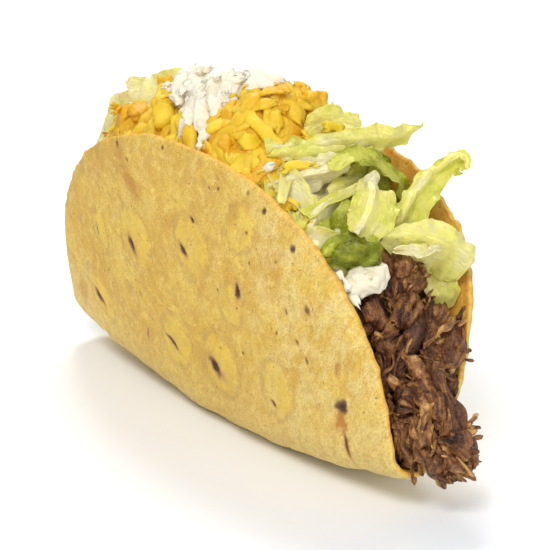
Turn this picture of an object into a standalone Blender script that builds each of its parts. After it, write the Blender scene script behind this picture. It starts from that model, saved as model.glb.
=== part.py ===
"""Crisp corn taco: a folded tortilla shell with shredded beef, shredded lettuce and two cheeses.

Metres, +Z up. +Y runs along the fold towards the narrow end, and the wide mouth faces -Y.
The origin is the middle of the flat resting spot under the fold.
"""
import math

import bmesh
import bpy
import numpy as np
from mathutils import Vector, noise

# Tortilla shell
HALF_FOLD = 0.068            # middle of the fold to either tip, along Y
HALF_GIRTH = 0.0802          # fold to rim over one wall, at mid length
THICKNESS = 0.0022
FOLD_RADIUS_TIP = 0.0068
FOLD_RADIUS_MID = 0.0116
FOLD_FLAT_MID = 0.0082       # flat strip along the bottom of the fold, at mid length
FOLD_DRIFT = 0.0041          # how far both tips of the fold turn towards -X
ROCKER = 0.0082              # how far both tips of the fold rise
REST_CUT = 0.00075           # depth of the flat resting spot
NEAR_LEAN = math.radians(8.0)          # outward lean of the -X wall, at mid length
NEAR_LEAN_SLOPE = math.radians(4.5)    # more lean towards +Y
FAR_LEAN = math.radians(-4.1)          # outward lean of the +X wall, at mid length
FAR_LEAN_SLOPE = math.radians(-29.9)   # the +X wall opens towards -Y
FAR_LEAN_LIMIT = 0.3                   # share of HALF_FOLD from where its lean stays the same
NEAR_BOW = 1.5               # inward curvature of the -X wall, 1/m
FAR_BOW = -2.9               # outward curvature of the +X wall, 1/m
SHELL_CELLS = (28, 26)       # over the fold, along it
FOLD_CROWDING = 1.45         # how much closer the cells lie at the fold

PAST_RIM = 1.3               # how far the walls are followed, as a share of HALF_GIRTH
WALL_STATIONS = 90

# Filling
GAP = 0.0003                 # clearance between neighbouring solids
WALL_CLEARANCE = THICKNESS + 2 * GAP
FLOOR_LIFT = 0.0006          # gap under the filling where the fold rises, which keeps its base wide
NARROWEST = 0.003            # least width of a filling between the walls
THINNEST = 0.002             # least height of a filling
ALONG_CELLS = 24
ACROSS_CELLS = 8
BEEF_RISE_CELLS = 10
BEEF_REACH = 0.032           # how far the beef spills out in front of its own top edge
BEEF_SPILL = 0.0095          # how far it spreads over the low rim of the +X wall
BEEF_FRONT = -0.047
BEEF_BACK = 0.058
BEEF_BACK_BULGE = 0.004
BEEF_RISE_EASE = 1.5         # crowds its cells at the foot
BEEF_MOUTH_MIDDLE = 0.55     # where across the mouth it reaches out furthest
BEEF_NEAR_SIDE = 2.48        # how fast it draws back from there towards the -X wall, and the +X wall
BEEF_FAR_SIDE = (1.0, 2.6)   # at its foot, and higher up
BEEF_FOOT = 0.4              # share of its rise that the foot takes
SPILL_START = 0.004          # how far past that rim it starts to spread
SPILL_DROOP = 0.9            # how steeply its underside hangs down in front of the fold's tip
LETTUCE_FRONT = -0.038
LETTUCE_BACK = 0.050
CHEDDAR_START_CELL = 4       # cells of bare lettuce in front of the cheddar
CHEDDAR_SLOPE = 0.003        # how far its top draws in at both ends
LETTUCE_RISE_CELLS = 4
LAYER_RISE_EASE = 1.4        # how hollow the ends of the lettuce and the cheddar are
CHEDDAR_RISE_CELLS = 2
LUMP_SIZE = 0.009
LUMP_HEIGHT = 0.0016
LUMP_DETAIL = 2.1            # how much finer its second set of lumps is, and how high
LUMP_DETAIL_HEIGHT = 0.5
FRONT_LUMPS = 3.0            # how much lumpier the beef is at its front
MOUTH_WIDTH = 0.04           # rough size of the shell's mouth, which spreads those lumps out
MOUTH_HEIGHT = 0.05
HEAP_WIDTH = 0.03            # rough width of the filling's top
HEAP_RISE = 0.3              # how much a top's lumps change with its height

# Heights of each filling's top: distance along the fold, then the height at the -X wall, in the
# middle and at the +X wall.
BEEF_TOP = (
    (-0.047, 0.042, 0.049, 0.043),
    (-0.030, 0.042, 0.045, 0.041),
    (0.000, 0.040, 0.041, 0.040),
    (0.040, 0.034, 0.036, 0.034),
    (0.058, 0.024, 0.027, 0.024),
)
LETTUCE_TOP = (
    (-0.042, 0.046, 0.051, 0.043),
    (-0.035, 0.054, 0.060, 0.048),
    (-0.025, 0.061, 0.066, 0.056),
    (-0.010, 0.063, 0.068, 0.061),
    (0.010, 0.063, 0.069, 0.062),
    (0.030, 0.057, 0.067, 0.057),
    (0.044, 0.048, 0.059, 0.048),
    (0.050, 0.042, 0.047, 0.042),
)
CHEDDAR_TOP = (
    (-0.020, 0.063, 0.066, 0.057),
    (-0.012, 0.065, 0.080, 0.066),
    (-0.004, 0.066, 0.080, 0.066),
    (0.010, 0.064, 0.0738, 0.063),
    (0.025, 0.060, 0.0712, 0.059),
    (0.040, 0.053, 0.067, 0.053),
    (0.050, 0.045, 0.054, 0.045),
)

# Share of BEEF_REACH at the front of the beef, from its foot (0) to its top edge (1).
BEEF_FRONT_SHAPE = ((0.0, 0.86), (0.18, 1.0), (0.28, 0.96), (0.42, 0.68), (0.6, 0.54), (0.8, 0.28), (1.0, 0.0))

# Clumps of white cheese. The top one is given by its middle along and across the filling, its half
# length, its half width as a share of the distance between the walls, and its height.
WHITE_TOP = (0.0105, 0.42, 0.0115, 0.36, 0.004)
WHITE_FRONT_CENTRE = Vector((-0.006, -0.0512, 0.0475))
WHITE_FRONT_RADII = Vector((0.006, 0.0032, 0.0036))
WHITE_FRONT_ROUNDS = 3
WHITE_FRONT_LUMPS = 0.5      # how lumpy the small clump is, and how much finer than a heap
WHITE_FRONT_DETAIL = 2.5
WHITE_TOP_CELLS = (8, 6, 2)
WHITE_TOP_EDGE = 0.25        # share of its height that its edge has
WHITE_TOP_CLEARANCE = 6 * GAP
WHITE_TOP_SPREAD = Vector((0.05, 1.5, 0.0))   # spreads its lumps out across it and along it

# Large leaves: centre line in millimetres, with the leaf's width at each point.
LEAVES = {
    "lettuce_blade": ((8, -43, 54, 6), (14, -41, 59, 8), (20, -39, 63, 8), (25, -38, 66, 6),
                      (30, -38, 68, 3)),
    "lettuce_wing": ((3, -48, 54, 3), (6, -50, 54, 8), (11, -52, 53, 10), (15, -54, 50, 10),
                     (18, -56, 47, 5)),
    "lettuce_pale_leaf": ((6, -37, 62, 3), (4, -40, 62, 7), (2, -43, 60, 9), (0, -44, 57, 8),
                          (-2, -44, 55, 3)),
    "lettuce_dark_leaf": ((-12, -49, 55, 4), (-9, -51, 55, 6), (-5, -51, 55, 6), (-1, -50, 54, 4)),
    "lettuce_green_arc": ((-1, -30, 68, 3), (4, -31, 69, 4), (10, -32, 67, 5), (15, -32, 63, 6),
                          (18, -32, 58, 5)),
    "lettuce_long_strip": ((-9, -20, 72, 4), (-3, -23, 72, 6), (4, -25, 71, 6), (17, -29, 71, 6),
                           (24, -29, 73, 3)),
    "lettuce_top_curl": ((1, -17, 75, 3), (5, -19, 76, 5), (10, -21, 75, 5), (14, -22, 73, 3)),
    "lettuce_rear_leaf": ((-8, 56, 42, 5), (-8, 54, 52, 7), (-8, 52, 60, 7), (-7, 50, 67, 4)),
    "lettuce_tall_leaf": ((-6, 38, 68, 9), (-6, 38, 71, 11), (-5, 37, 75, 9)),
}
LEAF_CELLS = (10, 3)
LEAF_THICKNESS = 0.0012
LEAF_RUFFLE = 0.0012
LEAF_WAVE_LENGTH = 0.0095     # from one ruffle to the next
LEAF_FACING = Vector((-0.52, -0.79, 0.33))

# Colours (linear)
TORTILLA_COLOUR = (0.78, 0.53, 0.15)
BEEF_COLOUR = (0.115, 0.046, 0.019)
LETTUCE_COLOUR = (0.66, 0.66, 0.17)
CHEDDAR_COLOUR = (0.87, 0.55, 0.04)
WHITE_CHEESE_COLOUR = (0.88, 0.83, 0.65)


def mix(start, end, share):
    return start + (end - start) * share


def material(name, colour, roughness):
    """A plain food surface."""
    result = bpy.data.materials.new(name)
    result.use_nodes = True
    shader = result.node_tree.nodes["Principled BSDF"]
    shader.inputs["Base Color"].default_value = (*colour, 1.0)
    shader.inputs["Roughness"].default_value = roughness
    shader.inputs["Metallic"].default_value = 0.0
    return result


def add_object(name, mesh_data, collection, surface):
    """Store a bmesh as a smooth shaded object with one material."""
    mesh = bpy.data.meshes.new(name)
    mesh_data.to_mesh(mesh)
    mesh_data.free()
    mesh.materials.append(surface)
    mesh.shade_smooth()
    item = bpy.data.objects.new(name, mesh)
    collection.objects.link(item)
    return item


def soft_minimum(value, limit, sharpness=6.0):
    """The lesser of the two, with the corner between them rounded off."""
    return limit - math.log1p(math.exp((limit - value) * sharpness)) / sharpness


def lean_and_bow(along, near):
    """Outward lean at the fold and curvature of one wall. along is -1 to 1 over the fold."""
    if near:
        return NEAR_LEAN + NEAR_LEAN_SLOPE * along, NEAR_BOW
    return FAR_LEAN + FAR_LEAN_SLOPE * soft_minimum(along, FAR_LEAN_LIMIT), FAR_BOW


def section_point(over, along, near):
    """Outer skin of one wall at the distance over from the fold's middle line: x and height."""
    middle = max(0.0, 1.0 - along * along)
    radius = mix(FOLD_RADIUS_TIP, FOLD_RADIUS_MID, middle)
    lean, bow = lean_and_bow(along, near)
    half_flat = FOLD_FLAT_MID / 2 * middle
    turn = math.pi / 2 - lean
    flat = min(over, half_flat)
    arc = min(max(over - half_flat, 0.0), radius * turn)
    wall = max(over - half_flat - radius * turn, 0.0)
    out = flat + radius * math.sin(arc / radius) + (math.sin(turn + bow * wall) - math.sin(turn)) / bow
    height = radius * (1.0 - math.cos(arc / radius)) - (math.cos(turn + bow * wall) - math.cos(turn)) / bow
    out = -out if near else out
    return out - FOLD_DRIFT * along * along, height + ROCKER * along * along


def shell_point(over, along):
    """Outer skin at a point of the unit disc that is folded into the shell, on its flat spot."""
    x, z = section_point(abs(over) * HALF_GIRTH, along, over < 0.0)
    return Vector((x, along * HALF_FOLD, max(z, REST_CUT) - REST_CUT))


def tortilla_shell(collection, surface):
    """A square grid is rounded into a disc, folded along Y and given its thickness inwards."""
    grid = bmesh.new()
    bmesh.ops.create_grid(grid, x_segments=SHELL_CELLS[0], y_segments=SHELL_CELLS[1], size=1.0)
    for vertex in grid.verts:
        across = math.copysign(abs(vertex.co.x) ** FOLD_CROWDING, vertex.co.x)
        along = vertex.co.y
        over = across * math.sqrt(1.0 - along * along / 2)
        vertex.co = shell_point(over, along * math.sqrt(1.0 - across * across / 2))
    shell = add_object("tortilla_shell", grid, collection, surface)
    outward_below = min(shell.data.polygons, key=lambda face: face.center.length).normal.z < 0.0
    solidify = shell.modifiers.new("Thickness", "SOLIDIFY")
    solidify.thickness = THICKNESS
    solidify.offset = -1.0 if outward_below else 1.0
    return shell


def wall_table(y, near):
    """The inner face of one wall at y, less the clearance, up to past the rim.

    Returns heights, x and the distances over the fold.
    """
    along = min(max(y / HALF_FOLD, -1.0), 1.0)
    overs = np.linspace(0.0, PAST_RIM * HALF_GIRTH, WALL_STATIONS)
    outer = np.array([section_point(over, along, near) for over in overs])
    tangent = np.gradient(outer, axis=0)
    tangent /= np.linalg.norm(tangent, axis=1)[:, None]
    side = 1.0 if near else -1.0
    inner = outer + np.stack([tangent[:, 1] * side, -tangent[:, 0] * side], axis=1) * WALL_CLEARANCE
    return np.maximum.accumulate(inner[:, 1]) - REST_CUT, inner[:, 0], overs


def walls(y, z):
    """x of the -X and the +X wall's inner face at y and height z."""
    tables = [wall_table(y, True), wall_table(y, False)]
    near, far = [float(np.interp(z, heights, xs)) for heights, xs, overs in tables]
    middle = (near + far) / 2
    return min(near, middle - NARROWEST / 2), max(far, middle + NARROWEST / 2)


def beyond_rim(y, z):
    """How far a point at the +X wall is past its rim, less than 0 inside the shell."""
    heights, xs, overs = wall_table(y, False)
    over = float(np.interp(z, heights, overs))
    return (math.hypot(y / HALF_FOLD, over / HALF_GIRTH) - 1.0) * HALF_FOLD


def ease(share):
    share = min(max(share, 0.0), 1.0)
    return share * share * (3.0 - 2.0 * share)


def lumps(point):
    """Smooth unevenness of a heap of shreds."""
    detail = noise.noise(point * LUMP_DETAIL / LUMP_SIZE)
    return (noise.noise(point / LUMP_SIZE) + LUMP_DETAIL_HEIGHT * detail) * LUMP_HEIGHT


def fold_floor(y):
    """Lowest point of the filling at y: on the bottom of the fold, or hanging in front of its tip."""
    along = y / HALF_FOLD
    rise = max(ROCKER * along * along - REST_CUT + FLOOR_LIFT, 0.0)
    hang = max(-y - HALF_FOLD - SPILL_START, 0.0)
    return rise + THICKNESS + 2 * GAP - SPILL_DROOP * hang


def top_height(heights, y, across):
    """Uneven top of a filling at y. across is 0 at the -X wall and 1 at the +X wall."""
    stations, near, middle, far = zip(*heights)
    near = np.interp(y, stations, near)
    middle = np.interp(y, stations, middle)
    far = np.interp(y, stations, far)
    crown = 4.0 * across * (1.0 - across)
    height = mix(near, far, across) + (middle - (near + far) / 2) * crown
    return float(height) + lumps(Vector((across * HEAP_WIDTH, y, height * HEAP_RISE)))


def between_walls(y, z, across):
    return Vector((mix(*walls(y, z), across), y, z))


def block(counts):
    """A unit cube from 0 to 1 whose faces are cut into counts cells along X, Y and Z."""
    cube = bmesh.new()
    bmesh.ops.create_cube(cube, size=1.0)
    bmesh.ops.translate(cube, verts=cube.verts, vec=(0.5, 0.5, 0.5))
    for axis, count in enumerate(counts):
        edges = [edge for edge in cube.edges if abs(edge.verts[1].co[axis] - edge.verts[0].co[axis]) > 0.5]
        bmesh.ops.subdivide_edges(cube, edges=edges, cuts=count - 1, use_grid_fill=True)
    return cube


def shaped_block(name, counts, place, collection, surface):
    """A block whose points (along, across, up) are each moved by the function place.

    Its squares are split the same way on every block, so that the fillings' faces match.
    """
    cube = block(counts)
    for face in list(cube.faces):
        corners = sorted(face.verts, key=lambda vertex: sum(vertex.co))
        bmesh.utils.face_split(face, corners[0], corners[-1])
    for vertex in cube.verts:
        vertex.co = place(*vertex.co)
    if cube.calc_volume(signed=True) < 0.0:
        bmesh.ops.reverse_faces(cube, faces=cube.faces)
    return add_object(name, cube, collection, surface)


def beef_point(along, across, up):
    """The beef fills the fold from end to end and spills out of the mouth."""
    reach, share = zip(*BEEF_FRONT_SHAPE)
    rise = up ** BEEF_RISE_EASE
    far_side = mix(*BEEF_FAR_SIDE, ease(rise / BEEF_FOOT))
    edge = 1.0 - mix(BEEF_NEAR_SIDE, far_side, across) * (across - BEEF_MOUTH_MIDDLE) ** 2
    front = BEEF_FRONT - BEEF_REACH * edge * float(np.interp(rise, reach, share))
    if 0.0 < up < 1.0:
        front += FRONT_LUMPS * lumps(Vector((across * MOUTH_WIDTH, front, up * MOUTH_HEIGHT)))
    back = BEEF_BACK + BEEF_BACK_BULGE * math.sin(math.pi * rise)
    y = mix(front, back, along)
    z = mix(fold_floor(y), top_height(BEEF_TOP, y, across), rise)
    point = between_walls(y, z, across)
    if y < BEEF_FRONT:
        point.x += BEEF_SPILL * across * ease((beyond_rim(y, z) - SPILL_START) / BEEF_SPILL)
    return point


def layer_point(below, top, y_low, y_high, across, rise):
    """A point of a filling from the top of the one below it, at y_low, to its own top at y_high."""
    low = top_height(below, y_low, across) + GAP
    high = max(top_height(top, y_high, across), top_height(below, y_high, across) + GAP + THINNEST)
    return between_walls(mix(y_low, y_high, rise), mix(low, high, rise ** LAYER_RISE_EASE), across)


def lettuce_point(along, across, up):
    """The lettuce lies on the beef and crowns over the rims."""
    y_low = mix(BEEF_FRONT, BEEF_BACK, along)
    y_high = mix(LETTUCE_FRONT, LETTUCE_BACK, along)
    return layer_point(BEEF_TOP, LETTUCE_TOP, y_low, y_high, across, up)


def cheddar_point(along, across, up):
    """The cheddar lies on the lettuce, from behind its bare front to the narrow end."""
    start = mix(LETTUCE_FRONT, LETTUCE_BACK, CHEDDAR_START_CELL / ALONG_CELLS)
    y_low = mix(start, LETTUCE_BACK, along)
    y_high = mix(start + CHEDDAR_SLOPE, LETTUCE_BACK - CHEDDAR_SLOPE, along)
    return layer_point(LETTUCE_TOP, CHEDDAR_TOP, y_low, y_high, across, up)


def white_top_point(along, across, up):
    """A flat clump on the cheddar, round in plan."""
    middle_y, middle_across, half_length, half_width, height = WHITE_TOP
    turn_y = (2.0 * along - 1.0)
    turn_x = (2.0 * across - 1.0)
    round_y = turn_y * math.sqrt(1.0 - turn_x * turn_x / 2)
    round_x = turn_x * math.sqrt(1.0 - turn_y * turn_y / 2)
    y = middle_y + half_length * round_y
    share = middle_across + half_width * round_x
    dome = math.sqrt(max(1.0 - round_y * round_y - round_x * round_x, 0.0))
    low = top_height(CHEDDAR_TOP, y, share) + WHITE_TOP_CLEARANCE
    thickness = height * (WHITE_TOP_EDGE + dome) + dome * lumps(Vector((share, y, 0.0)) * WHITE_TOP_SPREAD)
    return between_walls(y, low + up * thickness, share)


def white_front(collection, surface):
    """A small clump on the beef, below the dark leaf."""
    clump = bmesh.new()
    bmesh.ops.create_icosphere(clump, subdivisions=WHITE_FRONT_ROUNDS, radius=1.0)
    for vertex in clump.verts:
        direction = vertex.co.copy()
        vertex.co = WHITE_FRONT_CENTRE + direction * WHITE_FRONT_RADII
        vertex.co += direction * WHITE_FRONT_LUMPS * lumps(vertex.co * WHITE_FRONT_DETAIL)
    return add_object("white_cheese_front", clump, collection, surface)


def leaf(name, stations, collection, surface):
    """A grid bent along a smooth centre line, ruffled at its edges and given its thickness."""
    centre = [Vector(station[:3]) / 1000.0 for station in stations]
    widths = [station[3] / 1000.0 for station in stations]
    grid = bmesh.new()
    bmesh.ops.create_grid(grid, x_segments=LEAF_CELLS[0], y_segments=LEAF_CELLS[1], size=0.5)
    last = len(centre) - 1
    waves = sum((end - start).length for start, end in zip(centre, centre[1:])) / LEAF_WAVE_LENGTH
    for vertex in grid.verts:
        along = vertex.co.x + 0.5
        across = vertex.co.y
        cell = min(int(along * last), last - 1)
        share = along * last - cell
        before = centre[max(cell - 1, 0)]
        after = centre[min(cell + 2, last)]
        start_slope = (centre[cell + 1] - before) / 2
        end_slope = (after - centre[cell]) / 2
        point = hermite(centre[cell], start_slope, centre[cell + 1], end_slope, share)
        tangent = mix(start_slope, end_slope, share).normalized()
        side = tangent.cross(LEAF_FACING).normalized()
        width = float(np.interp(along * last, range(last + 1), widths))
        ruffle = LEAF_RUFFLE * math.sin(2 * math.pi * waves * along) * abs(2 * across)
        vertex.co = point + side * width * across + LEAF_FACING * ruffle
    item = add_object(name, grid, collection, surface)
    solidify = item.modifiers.new("Thickness", "SOLIDIFY")
    solidify.thickness = LEAF_THICKNESS
    solidify.offset = 0.0
    return item


def hermite(start, start_slope, end, end_slope, share):
    """A smooth curve from start to end with a slope at both."""
    square = share * share
    cube = square * share
    return (start * (2 * cube - 3 * square + 1) + start_slope * (cube - 2 * square + share)
            + end * (3 * square - 2 * cube) + end_slope * (cube - square))


def build():
    for item in list(bpy.data.objects):
        bpy.data.objects.remove(item, do_unlink=True)
    taco = bpy.data.collections.new("taco")
    bpy.context.scene.collection.children.link(taco)

    tortilla = material("tortilla", TORTILLA_COLOUR, 0.55)
    beef = material("beef", BEEF_COLOUR, 0.45)
    lettuce = material("lettuce", LETTUCE_COLOUR, 0.4)
    cheddar = material("cheddar", CHEDDAR_COLOUR, 0.45)
    white_cheese = material("white_cheese", WHITE_CHEESE_COLOUR, 0.5)

    tortilla_shell(taco, tortilla)
    shaped_block("shredded_beef", (ALONG_CELLS, ACROSS_CELLS, BEEF_RISE_CELLS), beef_point, taco, beef)
    shaped_block("shredded_lettuce", (ALONG_CELLS, ACROSS_CELLS, LETTUCE_RISE_CELLS), lettuce_point,
                 taco, lettuce)
    shaped_block("shredded_cheddar", (ALONG_CELLS - CHEDDAR_START_CELL, ACROSS_CELLS, CHEDDAR_RISE_CELLS),
                 cheddar_point, taco, cheddar)
    shaped_block("white_cheese_top", WHITE_TOP_CELLS, white_top_point, taco, white_cheese)
    white_front(taco, white_cheese)
    for name, stations in LEAVES.items():
        leaf(name, stations, taco, lettuce)


build()
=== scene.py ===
"""Looks of the crisp corn taco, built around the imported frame. Metres, +Z up, +Y along the fold."""

import math

import bmesh
import bpy
import numpy as np
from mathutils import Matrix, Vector


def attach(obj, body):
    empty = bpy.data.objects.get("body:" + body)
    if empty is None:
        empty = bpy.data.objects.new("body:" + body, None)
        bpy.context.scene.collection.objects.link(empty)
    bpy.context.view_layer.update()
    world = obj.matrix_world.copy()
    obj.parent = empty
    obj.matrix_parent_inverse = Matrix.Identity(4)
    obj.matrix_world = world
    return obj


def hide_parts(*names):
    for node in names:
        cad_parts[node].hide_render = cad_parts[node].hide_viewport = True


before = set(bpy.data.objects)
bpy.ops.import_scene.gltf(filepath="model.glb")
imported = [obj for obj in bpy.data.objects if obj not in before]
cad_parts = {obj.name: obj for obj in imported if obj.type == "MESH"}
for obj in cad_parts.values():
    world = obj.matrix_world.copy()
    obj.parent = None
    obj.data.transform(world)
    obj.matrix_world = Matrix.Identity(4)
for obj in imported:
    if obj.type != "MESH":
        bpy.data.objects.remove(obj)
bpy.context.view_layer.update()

MM = 0.001
RANDOM_SEED = 20

# Shell, the same driving dimensions as the frame's solid
HALF_FOLD = 0.068
HALF_GIRTH = 0.0802
THICKNESS = 0.0022
FOLD_RADIUS_TIP = 0.0068
FOLD_RADIUS_MID = 0.0116
FOLD_FLAT_MID = 0.0082
FOLD_DRIFT = 0.0041
ROCKER = 0.0082
REST_CUT = 0.00075
NEAR_LEAN = math.radians(8.0)
NEAR_LEAN_SLOPE = math.radians(4.5)
FAR_LEAN = math.radians(-4.1)
FAR_LEAN_SLOPE = math.radians(-29.9)
FAR_LEAN_LIMIT = 0.3
NEAR_BOW = 1.5
FAR_BOW = -2.9


# ---------------------------------------------------------------- small helpers

def mix(start, end, share):
    return start + (end - start) * share


def ease(share):
    share = np.clip(share, 0.0, 1.0)
    return share * share * (3.0 - 2.0 * share)


def stacked(*parts):
    return np.stack(parts, axis=-1)


def unit(vectors):
    return vectors / np.maximum(np.linalg.norm(vectors, axis=-1, keepdims=True), 1e-12)


def add_mesh(name, points, faces, material):
    """A mesh object from an array of points and lists of faces."""
    mesh = bpy.data.meshes.new(name)
    mesh.from_pydata([tuple(point) for point in points], [], [tuple(face) for face in faces])
    mesh.materials.append(material)
    mesh.shade_smooth()
    item = bpy.data.objects.new(name, mesh)
    bpy.context.scene.collection.objects.link(item)
    return item


def set_attribute(item, name, values):
    """Stores one vector for each point of a mesh."""
    layer = item.data.attributes.new(name, "FLOAT_VECTOR", "POINT")
    layer.data.foreach_set("vector", np.asarray(values, dtype=np.float32).ravel())


def declare(item, slot, *nodes):
    """Hangs a piece under the root and hides the CAD nodes it stands for; the slot is not used."""
    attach(item, "root")
    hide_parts(*nodes)
    return item


def grid_quads(index):
    """Quads of a grid of point numbers."""
    return stacked(index[:-1, :-1], index[:-1, 1:], index[1:, 1:], index[1:, :-1]).reshape(-1, 4)


def grid_loop(index):
    """Point numbers once round the edge of a grid."""
    return np.concatenate([index[0, :-1], index[:-1, -1], index[-1, :0:-1], index[:0:-1, 0]])


def band(first, second):
    """Quads between two closed loops of point numbers."""
    return stacked(first, np.roll(first, -1), np.roll(second, -1), second)


def lattice(corner, seed):
    """A repeatable number between -1 and 1 for each whole-number corner."""
    corner = corner.astype(np.uint32)
    mixed = corner[..., 0] * np.uint32(374761393) + corner[..., 1] * np.uint32(668265263)
    mixed = mixed + corner[..., 2] * np.uint32(2246822519) + np.uint32(seed * 3266489917 % 4294967296)
    mixed = (mixed ^ (mixed >> np.uint32(13))) * np.uint32(1274126177)
    mixed = (mixed ^ (mixed >> np.uint32(16))) * np.uint32(2654435761)
    return (mixed >> np.uint32(8)).astype(float) / 8388607.5 - 1.0


def waves(points, size, seed=0):
    """Smooth noise between about -1 and 1 at each point of an array."""
    spot = np.asarray(points, dtype=float) / size + 1000.0
    corner = np.floor(spot).astype(np.int64)
    share = spot - corner
    share = share * share * (3.0 - 2.0 * share)
    total = 0.0
    for x in (0, 1):
        for y in (0, 1):
            for z in (0, 1):
                weight = (share[..., 0] if x else 1.0 - share[..., 0])
                weight = weight * (share[..., 1] if y else 1.0 - share[..., 1])
                weight = weight * (share[..., 2] if z else 1.0 - share[..., 2])
                total = total + weight * lattice(corner + np.array([x, y, z]), seed)
    return 1.5 * total


# ---------------------------------------------------------------- shader helpers

class Shader:
    """A node material that is written like arithmetic."""

    def __init__(self, name):
        self.material = bpy.data.materials.new(name)
        self.material.use_nodes = True
        self.nodes = self.material.node_tree.nodes
        self.links = self.material.node_tree.links
        self.surface = self.nodes["Principled BSDF"]

    def node(self, kind, inputs=None, **settings):
        made = self.nodes.new(kind)
        for key, value in settings.items():
            setattr(made, key, value)
        for key, value in (inputs or {}).items():
            self.put(made.inputs[key], value)
        return made

    def put(self, socket, value):
        if isinstance(value, bpy.types.NodeSocket):
            self.links.new(value, socket)
        elif isinstance(value, (tuple, list)) and len(value) == 3 and socket.type == "RGBA":
            socket.default_value = (*value, 1.0)
        else:
            socket.default_value = value

    def math(self, operation, *values, clamp=False):
        made = self.node("ShaderNodeMath", operation=operation, use_clamp=clamp)
        for socket, value in zip(made.inputs, values):
            self.put(socket, value)
        return made.outputs[0]

    def times(self, first, second):
        return self.math("MULTIPLY", first, second)

    def total(self, start, *terms):
        """A start value with each term's value added, times its weight."""
        for value, weight in terms:
            start = self.math("MULTIPLY_ADD", value, weight, start)
        return start

    def vector(self, operation, *values):
        made = self.node("ShaderNodeVectorMath", operation=operation)
        for socket, value in zip(made.inputs, values):
            self.put(socket, value)
        return made.outputs["Value" if operation == "LENGTH" else "Vector"]

    def split(self, vector):
        return self.node("ShaderNodeSeparateXYZ", {"Vector": vector}).outputs

    def attribute(self, name):
        return self.node("ShaderNodeAttribute", attribute_name=name).outputs["Vector"]

    def piece_inputs(self):
        """The tone values of a filling's pieces, and the place in metres."""
        return self.split(self.attribute("tone")), self.node("ShaderNodeTexCoord").outputs["Object"]

    def noise(self, vector, scale, detail=3.0, roughness=0.5, shift=None, output="Fac"):
        if shift:
            vector = self.vector("ADD", vector, (*shift, 0.0))
        return self.node("ShaderNodeTexNoise", {"Vector": vector, "Scale": scale, "Detail": detail,
                         "Roughness": roughness}).outputs[output]

    def stretched_noise(self, vector, length, width, turn, detail, roughness):
        """Noise in long streaks, turned in their plane."""
        made = self.node("ShaderNodeMapping", {"Vector": vector, "Rotation": (0.0, 0.0, turn),
                         "Scale": (length, width, 1.0)}, vector_type="TEXTURE")
        return self.noise(made.outputs["Vector"], 1.0, detail, roughness)

    def cells(self, vector, scale):
        return self.node("ShaderNodeTexVoronoi", {"Vector": vector, "Scale": scale}).outputs["Distance"]

    def ranged(self, value, low, high, to_low=0.0, to_high=1.0, smooth=True):
        made = self.node("ShaderNodeMapRange", {"Value": value, "From Min": low, "From Max": high,
                         "To Min": to_low, "To Max": to_high}, clamp=True)
        made.interpolation_type = "SMOOTHSTEP" if smooth else "LINEAR"
        return made.outputs["Result"]

    def blend(self, factor, first, second, kind="MIX"):
        made = self.node("ShaderNodeMix", data_type="RGBA", blend_type=kind)
        self.put(made.inputs["Factor"], factor)
        self.put(made.inputs["A"], first)
        self.put(made.inputs["B"], second)
        return made.outputs["Result"]

    def painted(self, colour, *coats):
        """A colour under coats of others, each given as how much of it there is and its colour."""
        for amount, coat in coats:
            colour = self.blend(amount, colour, coat)
        return colour

    def bump(self, height, distance, strength=1.0):
        return self.node("ShaderNodeBump", {"Height": height, "Distance": distance,
                         "Strength": strength}).outputs["Normal"]

    def finish(self, **values):
        for key, value in values.items():
            self.put(self.surface.inputs[key.replace("_", " ")], value)
        return self.material

    def moist(self, colour, normal, roughness, specular, glow, radius):
        """The finish of a filling, which light sinks into by a radius in metres for each colour."""
        return self.finish(Base_Color=colour, Normal=normal, Roughness=roughness, Specular_IOR_Level=specular,
                           Subsurface_Weight=glow, Subsurface_Radius=radius, Subsurface_Scale=1.0)


# ---------------------------------------------------------------- tortilla

SHELL_CELLS = 200
FOLD_CROWDING = 1.15
RIM_LOOPS = 4
RIM_START = 0.965
RIM_WIDTH = 0.035
REST_BAND = 0.0015
MARK_REACH = 2.2
SPOT_STRETCH = 1.15

# A separate program cast marks seen in the photo onto this shell. Of the 80 rows in these four tables, 34
# hold a place just as they were cast. The others were moved, or made up for the +X wall.
# Pale round blisters: millimetres over the fold (minus on the -X wall) and along it, length, width and turn.
BLISTERS = (
    (-50.9, 21.7, 14.5, 13, 100), (-56, -2.5, 15, 13, 110), (-29.6, 8.6, 12, 14, 150),
    (-29, -10, 15.5, 13.5, 130), (-27, -31.5, 14, 10.5, 110), (-24, 45, 13, 10, 130),
    (-45.5, -17, 10, 9, 100), (-44, 39.5, 10, 8, 100), (-64, -22, 12, 10, 60),
    (52, 14, 13, 12, 70), (47, -13, 14, 12, 60), (30, 27, 12, 11, 40),
    (27, -1, 14, 12, 80), (30, -29, 13, 11, 65), (60, -27, 10, 9, 100),
    (41, 43, 10, 9, 80),
)
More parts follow.
